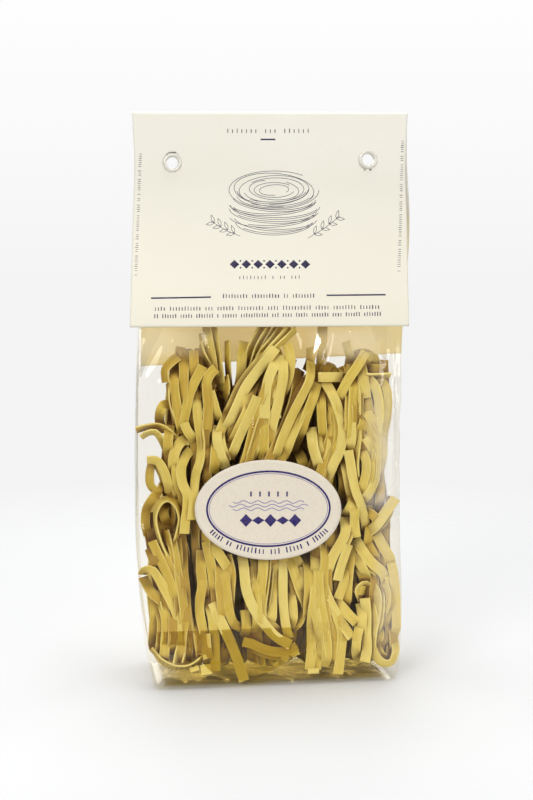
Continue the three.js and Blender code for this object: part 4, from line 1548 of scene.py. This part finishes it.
def base_sheet():
    w = half_width(0.0) - BASE_INSET
    front, back = front_out(0.0, 0.0) - BASE_INSET, back_out(0.0, 0.0) - BASE_INSET
    x, y = np.meshgrid(np.linspace(-w, w, BASE_COLUMNS), np.linspace(-front, back, BASE_ROWS))
    inside = np.minimum(np.minimum(x + w, w - x), np.minimum(y + front, back - y))
    long_waves = np.sin(y * 1.3 + 0.6 * np.sin(x / 9)) * np.cos(x / 17)
    ripple = long_waves + 0.6 * np.sin(x / 3.1 + 2 * np.sin(y / 4))
    rise = smooth(inside / BASE_SLOPE)
    z = BASE_LEVEL + BASE_RISE * rise + BASE_RIPPLE * ripple * (0.4 + rise)
    points = settled(np.stack([x, y, z], -1)).reshape(-1, 3)
    return points, grid_faces(BASE_ROWS, BASE_COLUMNS), inside.ravel()


# The amber tint and golden streaks are painted reflection of the pasta and painted shade of the floor below.
FOLDED = folded_finish("folded_film", (0.70, 0.60, 0.30, 1), 1.0, (47, 63))
folded_piece("base_folds", *base_sheet(), FOLDED)

# %% [markdown]
# ## A doubled fold
#
# Below the card the film is creased over itself. The small facet there is tilted towards the
# main light, so that it flashes white.

# %% Crease the film over
FACET_MARKS = [(316.8, 331), (319, 335), (321.6, 341), (318, 349), (313, 356), (313.4, 349), (315.4, 339)]
FACET_LIFT, FACET_SLOPES = 1.1, (0.344, -0.25)  # over the film, and its rise to the right and upwards
FACET_CORE, FACET_RIM = 0.7, 0.8  # share of it that is whole, and how far inside its rim counts as


def facet_sheet():
    rim = np.array(FACET_MARKS)
    n = len(rim)
    middle = rim.mean(0)
    flat = from_view(np.concatenate([[middle], mix(middle, rim, FACET_CORE), rim]), front_out)
    out = front_out(*flat[0]) + FACET_LIFT + (flat - flat[0]) @ FACET_SLOPES
    faces = turned_over(fan_faces(0, 1, n)) + grid_faces(2, n, 1, True)
    inside = np.repeat([RIM_FADE, RIM_FADE, FACET_RIM], [1, n, n])
    return settled(np.stack([flat[:, 0], -out, flat[:, 1]], -1)), faces, inside


FACET = folded_finish("film_facet", (0.97, 0.96, 0.92, 1), 0.0, NOT_THINNED, 0.12)
folded_piece("film_facet", *facet_sheet(), FACET)

# %% [markdown]
# ## The sealed flap
#
# The flap of the bottom is sealed to the lower front, on the inside of the film. Its left part
# is doubled and amber, and its right part is pale.

# %% Seal the flap
FLAP_DEPTH = 0.5  # how far the flap lies behind the film
FLAP_COLUMNS, FLAP_ROWS = 60, 5
# Top and bottom edge of the flap's strips in the camera's view from left to right, and their tints.
FLAPS = {
    "flap_left": (
        [(157, 632), (205, 630.5), (255, 628.5), (307, 627)],
        [(157, 644), (190, 648), (212, 672), (248, 681), (272, 670), (307, 648)],
        folded_finish("flap_film_amber", (0.76, 0.69, 0.28, 1), 0.05, NOT_THINNED),
    ),
    "flap_right": (
        [(308, 623), (325, 622), (342, 621), (358, 620)],
        [(308, 643), (325, 642), (342, 641.5), (358, 641)],
        folded_finish("flap_film_pale", (0.96, 0.94, 0.84, 1), 0.05, NOT_THINNED),
    ),
}


def flap_sheet(top, bottom):
    over, under = curve_through(top)[0], curve_through(bottom)[0]
    parts = np.linspace(0, 1, FLAP_COLUMNS)
    over = over[[int(part * (len(over) - 1)) for part in parts]]
    under = under[[int(part * (len(under) - 1)) for part in parts]]
    marks = [mix(over, under, share) for share in np.linspace(0, 1, FLAP_ROWS)]
    x, z = np.moveaxis(from_view(marks, lambda x, z: front_out(x, z) - FLAP_DEPTH), -1, 0)
    points = settled(np.stack([x, FLAP_DEPTH - front_out(x, z), z], -1)).reshape(-1, 3)
    return points, turned_over(grid_faces(FLAP_ROWS, FLAP_COLUMNS)), np.full(len(points), RIM_FADE)


for name, (top, bottom, finish) in FLAPS.items():
    folded_piece(name, *flap_sheet(top, bottom), finish)

# %% [markdown]
# ## Crumbs
#
# Broken ends and short pieces gather at the foot of the bag.

# %% Scatter the crumbs
CRUMB_OUT = 25.0
# Middle in the camera's view, heading in degrees, length in mm and width against a ribbon's.
CRUMBS = (
    (206, 669.5, 8, 5.0, 0.95),
    (200.5, 652, -15, 3.6, 0.5),
    (194.5, 669, 20, 4.4, 0.45),
    (295, 653.5, 25, 4.4, 0.5),
    (285, 658, -30, 3.4, 0.6),
    (313.5, 673, -4, 5.4, 0.5),
    (276, 664, 12, 2.6, 0.35),
)
crumbs = []
for x, y, heading, length, wide in CRUMBS:
    middle, angle = np.array([x, y]), math.radians(heading)
    way = np.array([math.cos(angle), -math.sin(angle)]) * length * FOCAL / (VIEW_DISTANCE - CRUMB_OUT) / 2
    track, _ = curve_through(from_view([middle - way, middle, middle + way], lambda x, z: 0 * x + CRUMB_OUT))
    straight = np.stack([track[:, 0], 0 * track[:, 0] - CRUMB_OUT, np.maximum(track[:, 1], LOWEST)], -1)
    tip = chance.uniform(-0.4, 0.4)
    facing = np.broadcast_to([tip, -1.0, chance.uniform(0, 0.6)], straight.shape)
    crumb = settled_path(straight, facing, size=wide)
    crumb["along"] = run_length(crumb["points"])
    crumbs.append(toned(crumb, chance.uniform(0.6, 1.1)))
ride(sweep("crumbs", crumbs, NOODLE_WIDTH, NOODLE_THICK, PASTA), "dry_pasta")

# %% [markdown]
# ## The header card
#
# The card is uncoated board, folded over the neck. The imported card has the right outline, and
# here a finer sheet follows the same line, with the slight waves of board that is pressed at
# two points. It gets its thickness from Solidify.

# %% Build the card
CARD_COLUMNS = 136
PANEL_ROWS, FOLD_ROWS = 106, 10
FOLD_RADIUS = NECK_THICK / 2 + GAP + CARD_THICK / 2
FOLD_Z = PACK_HEIGHT - FOLD_RADIUS - CARD_THICK / 2
FRONT_THINNESS, BACK_THINNESS = 0.06, 0.58  # shares of the light that pass
WAVE_TOP, WAVE_FULL = 250, 190  # heights at which the waves end, and below which they are full


def card_waves(x, z, is_front):
    """Small waves that fade towards the eyelets and the fold."""
    ripple = 0.22 * np.sin(x / 15 + (0.6 if is_front else 2.1)) + 0.12 * np.sin(x / 6.5 + z / 23)
    return ramp(z, WAVE_TOP, WAVE_FULL) * ripple


def card_front(x, z, lift=0.0):
    """A point on or over the front panel's outer face."""
    out = card_out(z, FRONT_SHOULDER) + CARD_THICK / 2 + lift + card_waves(x, z, True)
    return np.stack([x, -out, z], -1)


def card_sheet():
    share = np.linspace(-1, 1, CARD_COLUMNS + 1)
    rows = []
    for z in np.linspace(CARD_FRONT, FOLD_Z, PANEL_ROWS, endpoint=False):
        x = share * card_half_width(z)
        rows.append(np.stack([x, -card_out(z, FRONT_SHOULDER) - card_waves(x, z, True), 0 * x + z], -1))
    for t in np.linspace(0, np.pi, FOLD_ROWS + 1):
        z = FOLD_Z + FOLD_RADIUS * np.sin(t)
        x = share * card_half_width(z)
        rows.append(np.stack([x, 0 * x - FOLD_RADIUS * np.cos(t), 0 * x + z], -1))
    low = CARD_BACK + share * CARD_SKEW * CARD_WIDTH / 2
    for t in np.linspace(0, 1, PANEL_ROWS + 1)[1:]:
        z = mix(FOLD_Z, low, t)
        x = share * card_half_width(z) + CARD_SKEW * (FOLD_Z - z)
        rows.append(np.stack([x, card_out(z, BACK_SHOULDER) + card_waves(x, z, False), z], -1))
    return np.array(rows)


def board_finish():
    look = Look("header_card")
    where = look.place()
    fibre = look.noise(where, 900, 4, 0.65)
    cloud = look.noise(where, 28, 3)
    tint = look.color((cloud - 0.3).between(0.0, 0.5), paint(246, 243, 231), paint(243, 239, 225))
    tint = look.color(fibre.between(0.55, 0.8) * 0.25, tint, paint(226, 221, 203))
    across, depth, low = (look.part(where, axis) for axis in range(3))
    # Darker and warmer towards the card's lower edge: painted shade.
    tint = look.color(1 - low.between(0.175, 0.27), tint, paint(229, 224, 207))
    is_back = depth.between(2 * MM, 4 * MM) * (1 - low.between(0.195, 0.25))
    outwards = look.part(look.node("ShaderNodeNewGeometry", out="Normal"), 1)
    # The inner face of the back panel is golden in its middle and cream at its sides: painted warm light from
    # the pasta below.
    inner = look.color(across.size().between(0.018, 0.06), paint(250, 220, 126), paint(238, 224, 184))
    tint = look.color((1 - outwards.between(-0.5, 0.5)) * is_back, tint, inner)
    shader = look.surface(
        Base_Color=tint,
        Roughness=0.78 + fibre * 0.12,
        Normal=look.bump(fibre, 0.25, 0.06),
        Specular_IOR_Level=0.3,
    )
    through = look.node("ShaderNodeBsdfTranslucent", {"Color": paint(255, 246, 214)})
    share = is_back * (BACK_THINNESS - FRONT_THINNESS) + FRONT_THINNESS
    return look.done(look.blend(share, shader, through))


BOARD = board_finish()
sheet = card_sheet()
points = sheet.reshape(-1, 3)
faces = []
for face in grid_faces(*sheet.shape[:2]):
    x, _, z = (points[face[0]] + points[face[2]]) / 2
    if not in_eyelet(x, z, CARD_HOLE):
        faces.append(face)
card = plain_mesh("card", settled(points), faces, BOARD)
thick = card.modifiers.new("board", "SOLIDIFY")
thick.thickness, thick.offset = CARD_THICK * MM, 0
ride(card, "header_card", "header_card")

# %% [markdown]
# ## Eyelets
#
# A metal eyelet is one spun piece: a tube whose ends are rolled over the board. The profile is
# turned about its own axis, which points out of the card.

# %% Spin the eyelets
SPIN_STEPS, ROLL_STEPS = 72, 15
EYELET_LIP, EYELET_PRESS, EYELET_THROAT = 0.25, 0.02, 0.1  # where the roll turns under, and how it sits


def nickel_finish():
    look = Look("eyelet_metal")
    where = look.place()
    wear = look.noise(where, 900, 3, 0.6)
    shader = look.surface(
        Base_Color=look.color(wear.between(0.35, 0.7), paint(234, 231, 220), paint(214, 210, 198)),
        Metallic=0.45,
        Roughness=0.42 + wear * 0.16,
        Normal=look.bump(wear, 0.12, 0.05),
    )
    return look.done(shader)


NICKEL = nickel_finish()


def eyelet_profile():
    """Radius and distance from the middle plane, once round the section."""
    face = NECK_THICK / 2 + GAP + CARD_THICK + GAP / 2
    wide, middle = (EYELET_FLANGE - EYELET_BORE) / 2, (EYELET_FLANGE + EYELET_BORE) / 2
    turns = np.linspace(0, np.pi, ROLL_STEPS)
    roll = np.stack([middle - wide * np.cos(turns), face + EYELET_ROLL * np.sin(turns)], -1)
    seat = face - EYELET_PRESS
    under = [(EYELET_FLANGE - EYELET_LIP, seat), (EYELET_TUBE + EYELET_THROAT, seat)]
    front = np.concatenate([roll, under])
    back = front[::-1] * [1, -1]
    return np.concatenate([front, back])


def spin(profile, x, z):
    turns = np.linspace(0, 2 * np.pi, SPIN_STEPS, endpoint=False)
    r, y = profile[:, 0], profile[:, 1]
    points = np.concatenate([np.stack([x + r * math.cos(t), y, z + r * math.sin(t)], -1) for t in turns])
    faces = turned_over(grid_faces(SPIN_STEPS + 1, len(profile), is_round=True))
    return points, [tuple(i % len(points) for i in face) for face in faces]


for name, z in EYELET_Z.items():
    x = EYELET_X * (-1 if name == "eyelet_left" else 1)
    points, faces = spin(eyelet_profile(), x, z)
    ring = plain_mesh("ring_" + name, points, faces, NICKEL)
    ride(ring, "eyelet_metal", name)

# %% [markdown]
# ## The label
#
# The label is thin paper on the film, so it takes the film's crown. A fine oval disc keeps a
# clean rim.

# %% Cut the label
LABEL_SPOKES, LABEL_CIRCLES = 120, 22


def label_front(x, z, lift=0.0):
    """A point on or over the label's face."""
    return np.stack([x, -front_out(x, z) - GAP - LABEL_THICK - lift, z], -1)


def on_label(across, up):
    """Straight x and z of a place on the label, measured from its middle along its own axes."""
    c, s = math.cos(LABEL_TILT), math.sin(LABEL_TILT)
    return LABEL_X + across * c - up * s, LABEL_Z + across * s + up * c


def label_disc():
    outer = [label_front(*on_label(np.array(0.0), np.array(0.0)))]
    turns = np.linspace(0, 2 * np.pi, LABEL_SPOKES, endpoint=False)
    for r in range(1, LABEL_CIRCLES + 1):
        share = r / LABEL_CIRCLES
        x, z = on_label(share * LABEL_WIDTH / 2 * np.cos(turns), share * LABEL_HEIGHT / 2 * np.sin(turns))
        outer += list(label_front(x, z))
    outer = np.array(outer)
    inner = outer + [0, LABEL_THICK, 0]
    faces = disc_faces(LABEL_CIRCLES, LABEL_SPOKES)
    behind = [tuple(len(outer) + k for k in reversed(f)) for f in faces]
    rim = 1 + (LABEL_CIRCLES - 1) * LABEL_SPOKES
    wall = []
    for i in range(LABEL_SPOKES):
        a, b = rim + i, rim + (i + 1) % LABEL_SPOKES
        wall.append((a, len(outer) + a, len(outer) + b, b))
    return np.concatenate([outer, inner]), faces + behind + wall


def paper_finish():
    look = Look("label_paper")
    where = look.place()
    fibre = look.noise(where, 700, 4, 0.65)
    tint = look.color(fibre.between(0.4, 0.7), paint(223, 213, 195), paint(217, 206, 188))
    shader = look.surface(
        Base_Color=tint,
        Roughness=0.6 + fibre * 0.15,
        Normal=look.bump(fibre, 0.2, 0.05),
        Specular_IOR_Level=0.35,
    )
    return look.done(shader)


points, faces = label_disc()
label = plain_mesh("label", settled(points), faces, paper_finish())
ride(label, "label_paper", "oval_label")

# %% [markdown]
# ## Printed ink
#
# Ink on board is far thinner than a hair. Each printed stroke is a flat bar that lies on its
# surface and stands a few hundredths of a millimetre proud, so its edges stay sharp from any
# distance. Nothing here is lettering: a line of words becomes a row of small blocks in
# word-like groups, a headline becomes a chain of lozenges, and the drawings are of pasta and
# leaves.

# %% Strokes on a surface
INK_THICK, INK_LIFT = 0.06, 0.02
SLOPE_STEP = 0.2  # how far to each side a surface is felt for its slope
BLOCK_FOOT, BLOCK_TOPS, WORD_GAP = 0.36, (0.36, 0.36, 0.5), 1.1
print_chance = np.random.default_rng(3)


def stroke(marks, width, surface, shape=None):
    """A printed stroke through marks of the camera's view. Its shape is a width at each share."""
    track, share = curve_through(from_view(marks, lambda x, z: -surface(x, z)[..., 1]))
    x, z = track.T
    points = surface(x, z, INK_LIFT)
    along_x = surface(x + SLOPE_STEP, z) - surface(x - SLOPE_STEP, z)
    along_z = surface(x, z + SLOPE_STEP) - surface(x, z - SLOPE_STEP)
    facing = np.cross(along_x, along_z)
    facing /= np.linalg.norm(facing, axis=1)[:, None]
    size = width * (shape(share) if shape else 1 + 0 * share)
    return settled_path(points, facing, size=size)


def lozenge(share):
    return np.maximum(1 - np.abs(2 * share - 1), 0.05)


def lozenge_marks(x, level, reach_x):
    return [(x - reach_x, level), (x, level), (x + reach_x, level)]


def word_blocks(groups, place, height, width, surface):
    """Small blocks in groups. place(share) gives a block's middle and the way up."""
    total = sum(groups) + WORD_GAP * (len(groups) - 1)
    made, at = [], 0.0
    for group in groups:
        for _ in range(group):
            middle, up = place((at + 0.5) / total)
            rise = print_chance.choice(BLOCK_TOPS)
            ends = [middle - up * height * BLOCK_FOOT, middle + up * height * rise]
            made.append(stroke(ends, width * print_chance.uniform(0.8, 1.25), surface))
            at += 1
        at += WORD_GAP
    return made


def line(start, end):
    """The place function of a straight row, in the camera's view."""
    a, b = np.array(start, float), np.array(end, float)
    along = (b - a) / np.linalg.norm(b - a)
    up = np.array([along[1], -along[0]])
    return lambda share: (a + (b - a) * share, up)


# %% [markdown]
# ## The print of the card
#
# A short rule under a small heading, a line drawing of a nest between two sprigs, the chain of
# lozenges, two long rules, and rows of word blocks below and along both sides.

# %% Print the card


def ellipse_marks(middle, reach_x, reach_y, start, stop, turn=0.0, count=14):
    t = np.linspace(start, stop, count)
    u, v = reach_x * np.cos(t), reach_y * np.sin(t)
    c, s = math.cos(turn), math.sin(turn)
    return np.stack([middle[0] + u * c - v * s, middle[1] + u * s + v * c], -1)


def drawn_nest(middle):
    """Ribbons wound into a nest with a hollow top, as a pen would draw them."""
    lines = []
    for k in range(9):
        reach_x = 34 + 11 * math.sin(math.pi * (k + 1.5) / 10)
        level = (middle[0] + 1.5 * math.sin(2.1 * k), middle[1] + 31 - 3.9 * k)
        start, stop = 0.12 + 0.1 * math.sin(3 * k), math.pi - 0.12 + 0.1 * math.sin(5 * k)
        turn = 0.05 * math.sin(2.3 * k)
        lines.append(ellipse_marks(level, reach_x, 14, start, stop, turn))
        start, stop = start + 0.2, stop - 0.5 - 0.3 * math.sin(k)
        lines.append(ellipse_marks(level, reach_x - 1.5, 12.2, start, stop, turn))
    for k in range(7):
        start, turn = 1.3 * k, 0.07 * math.sin(1.9 * k)
        lines.append(ellipse_marks(middle, 45 - 5 * k, 19 - 2.3 * k, start, start + 5.4, turn, 24))
    return lines


def drawn_sprig(foot, tip, pairs):
    """A stem with pairs of pointed leaves, each drawn as two bowed lines."""
    a, b = np.array(foot, float), np.array(tip, float)
    along = (b - a) / np.linalg.norm(b - a)
    lines = [np.array([a, (a + b) / 2 + [0, 1.5], b])]
    for k in range(pairs):
        root = a + (b - a) * (k + 0.8) / (pairs + 0.3)
        for side in (-1, 1):
            c, s = math.cos(0.7 * side), math.sin(0.7 * side)
            way = np.array([along[0] * c - along[1] * s, along[0] * s + along[1] * c])
            bowed = np.array([-way[1], way[0]]) * 1.5
            middle, end = root + way * 4, root + way * 8.5
            lines += [np.array([root, middle + bowed, end]), np.array([root, middle - bowed, end])]
    return lines


def ink_finish(name, color):
    look = Look(name)
    where = look.place()
    bite = look.noise(where, 1500, 3, 0.6)
    tint = look.color(bite.between(0.45, 0.75) * 0.35, color, paint(120, 116, 140))
    return look.done(look.surface(Base_Color=tint, Roughness=0.5 + bite * 0.2, Specular_IOR_Level=0.3))


NAVY_INK = ink_finish("navy_ink", paint(38, 32, 66))
GREY_INK = ink_finish("grey_ink", paint(52, 48, 68))

heavy = [
    stroke([(260.6, 139.4), (268, 139.4), (275.2, 139.4)], 0.75, card_front),
    stroke([(151, 298.2), (181, 297.7), (211, 297.1)], 0.8, card_front),
    stroke([(326.5, 295.3), (356, 295), (385.5, 294.7)], 0.8, card_front),
]
LOZENGES, CHAIN_LEFT, CHAIN_RIGHT, CHAIN_LEVEL = 7, 234.5, 305.5, 264.3
for k in range(LOZENGES):
    x = mix(CHAIN_LEFT, CHAIN_RIGHT, k / (LOZENGES - 1))
    heavy.append(stroke(lozenge_marks(x, CHAIN_LEVEL, 4.6), 4.6, card_front, lozenge))
    if k:
        gap = x - (CHAIN_RIGHT - CHAIN_LEFT) / (LOZENGES - 1) / 2
        for level in (CHAIN_LEVEL - 3.4, CHAIN_LEVEL + 3.4):
            heavy.append(stroke(lozenge_marks(gap, level, 1.1), 1.1, card_front, lozenge))

fine_ink = []
for groups, start, end, height, width in (
    ((7, 3, 6), (225.5, 131.2), (310.5, 131.2), 5.0, 0.42),
    ((8, 1, 2, 3), (238, 277.8), (301, 277.2), 4.2, 0.34),
    ((9, 10, 2, 8), (222, 296.4), (315, 296.0), 4.8, 0.46),
    ((4, 11, 3, 6, 9, 4, 10, 5, 8, 7), (154, 309.2), (380, 307.2), 4.8, 0.44),
    ((2, 6, 5, 7, 1, 6, 11, 3, 4, 5, 7, 4, 6, 7), (153.5, 316.6), (381.5, 314.2), 4.8, 0.44),
    ((1, 8, 5, 3, 8, 4, 2, 1, 6, 3, 7), (135.8, 276), (140.6, 153), 3.6, 0.26),
    ((1, 9, 3, 11, 5, 2, 4, 8, 3, 6), (399.2, 272), (402.6, 140), 3.6, 0.26),
):
    fine_ink += word_blocks(groups, line(start, end), height, width, card_front)
drawing = [stroke(marks, 0.26, card_front) for marks in drawn_nest((274, 190))]
for foot, tip in (((240, 236), (211, 221)), ((308, 238), (340, 216))):
    drawing += [stroke(marks, 0.24, card_front) for marks in drawn_sprig(foot, tip, 4)]

for name, strokes, ink in (
    ("card_print", heavy, NAVY_INK),
    ("card_words", fine_ink, GREY_INK),
    ("card_drawing", drawing, GREY_INK),
):
    ride(sweep(name, strokes, 1.0, INK_THICK, ink, 0.2, 1), "print_ink")

# %% [markdown]
# ## The print of the label
#
# A bold oval ring with a fine pale ring inside it, a row of word blocks that follows the ring
# below, and in the middle three waves of ribbon over a short chain of lozenges.

# %% Print the label
RING_MIDDLE, RING_REACH = (268.4, 508.8), (61.4, 37.4)
ring = ellipse_marks(RING_MIDDLE, *RING_REACH, 0, 2 * np.pi, -0.02, 90)
inner_ring = ellipse_marks(RING_MIDDLE, RING_REACH[0] - 2.2, RING_REACH[1] - 2.2, 0, 2 * np.pi, -0.02, 90)


def below_ring(share):
    """The place function of the row that follows the ring: from lower left to lower right."""
    t = mix(math.pi - 0.53, 0.5, share)
    reach_x, reach_y = RING_REACH[0] + 5.4, RING_REACH[1] + 5.6
    middle = np.array([RING_MIDDLE[0] + reach_x * math.cos(t), RING_MIDDLE[1] + reach_y * math.sin(t)])
    up = -np.array([math.cos(t) / reach_x, math.sin(t) / reach_y])
    return middle, up / np.linalg.norm(up)


def wave_marks(left, right, level, height, waves):
    x = np.linspace(left, right, 8 * waves + 1)
    return np.stack([x, level + height * np.sin(np.linspace(0, 2 * np.pi * waves, len(x)))], -1)


bold = [stroke(ring, 0.95, label_front)]
bold += word_blocks((5, 2, 8, 3, 5, 1, 6), below_ring, 6.6, 0.62, label_front)
for k in range(5):
    x = mix(246, 295, k / 4)
    height = 6.4 if k % 2 == 0 else 4.0
    bold.append(stroke([(x - 6, 520.5), (x, 520.4), (x + 6, 520.2)], height, label_front, lozenge))
for k in range(5):
    x = mix(251, 287, k / 4)
    bold.append(stroke([(x, 491.5), (x, 494), (x, 496.5)], 0.8, label_front))

pale = [stroke(inner_ring, 0.35, label_front)]
for level, left, right in ((502.0, 233, 304), (505.6, 229, 308), (509.2, 233, 304)):
    pale.append(stroke(wave_marks(left, right, level, 1.5, 5), 0.5, label_front))
LABEL_NAVY = ink_finish("label_navy", paint(40, 26, 96))
PALE_INK = ink_finish("pale_ink", paint(150, 140, 172))
ride(sweep("label_print", bold, 1.0, INK_THICK, LABEL_NAVY, 0.2, 1), "print_ink")
ride(sweep("label_lines", pale, 1.0, INK_THICK, PALE_INK, 0.2, 1), "print_ink")

# %% [markdown]
# ## Light and background
#
# A pale round floor fades out at its rim, so that from any side the pack stands on a seamless
# ground. Large soft lights on each side, behind and above light it evenly. The room that the
# film mirrors is dark in front, or its reflection would fog the film.

# %% Floor, room and lights
FLOOR_RADIUS, FLOOR_RINGS, FLOOR_SPOKES, FLOOR_LEVEL = 980.0, 12, 64, -0.05
FADE_START, FADE_END = 0.04, 0.6  # metres from the middle


def floor_finish():
    look = Look("floor")
    where = look.place()
    cloud = look.noise(where, 0.8, 1)
    away = look.node("ShaderNodeVectorMath", {0: where}, "Value", operation="LENGTH")
    tint = look.color(cloud, paint(222, 223, 224), paint(225, 226, 227))
    shader = look.surface(Base_Color=tint, Roughness=0.9, Specular_IOR_Level=0.1)
    nothing = look.clear((1, 1, 1, 1))
    return look.done(look.blend(away.between(FADE_START, FADE_END), shader, nothing))


def round_floor():
    turns = np.linspace(0, 2 * np.pi, FLOOR_SPOKES, endpoint=False)
    points = [(0.0, 0.0, FLOOR_LEVEL)]
    for k in range(1, FLOOR_RINGS + 1):
        r = FLOOR_RADIUS * k / FLOOR_RINGS
        points += [(r * math.cos(t), r * math.sin(t), FLOOR_LEVEL) for t in turns]
    return plain_mesh("floor", points, disc_faces(FLOOR_RINGS, FLOOR_SPOKES), floor_finish())


def soft_light(name, at, aim, size, watts):
    data = bpy.data.lights.new(name, "AREA")
    data.shape = "RECTANGLE"
    data.size, data.size_y = size
    data.energy = watts
    lamp = bpy.data.objects.new(name, data)
    bpy.context.scene.collection.objects.link(lamp)
    lamp.location = at
    lamp.visible_camera = False
    lamp.rotation_euler = (Vector(aim) - Vector(at)).to_track_quat("-Z", "Y").to_euler()


round_floor()
soft_light("key", (-0.8, -1.4, 0.85), (0, 0, 0.14), (0.8, 0.8), 17.0)
soft_light("fill", (1.2, -1.3, 0.3), (0, 0, 0.12), (0.6, 0.8), 12.5)
soft_light("top", (0.0, 0.1, 1.6), (0, 0, 0.1), (1.2, 1.0), 18)
soft_light("behind", (0.0, 1.4, 0.45), (0, 0, 0.2), (0.9, 0.4), 11)

ROOM_DARK, ROOM_LIGHT, ROOM_EDGE = 0.06, 0.33, (0.35, 0.85)
SKY_NEAR, SKY_LOW, SKY_HIGH = 0.94, 0.90, 0.99  # the ground seen in front of the pack, behind and above
SKY_RISE, SKY_FALL = (-0.05, 0.14), (0.24, 0.36)  # upwards, and downwards, over which it changes


def studio():
    """A bright room whose front is dark, and a pale ground behind everything that is seen."""
    world = bpy.data.worlds.new("studio")
    bpy.context.scene.world = world
    world.use_nodes = True
    tree = world.node_tree
    tree.nodes.clear()
    heading = grow(tree, "ShaderNodeTexCoord").outputs["Generated"]
    parts = grow(tree, "ShaderNodeSeparateXYZ", {0: heading})
    to_front, height = Wire(tree, parts.outputs[1]) * -1, Wire(tree, parts.outputs[2])
    room = ROOM_LIGHT - to_front.between(*ROOM_EDGE) * (ROOM_LIGHT - ROOM_DARK)
    ground = SKY_LOW + height.between(*SKY_RISE) * (SKY_HIGH - SKY_LOW)
    ground = ground + (height * -1).between(*SKY_FALL) * (SKY_NEAR - SKY_LOW)
    direct = Wire(tree, grow(tree, "ShaderNodeLightPath").outputs["Is Camera Ray"])
    level = room + direct * (ground - room)
    back = grow(tree, "ShaderNodeBackground", {"Color": level, "Strength": 1.0})
    grow(tree, "ShaderNodeOutputWorld", {"Surface": back.outputs[0]})


studio()
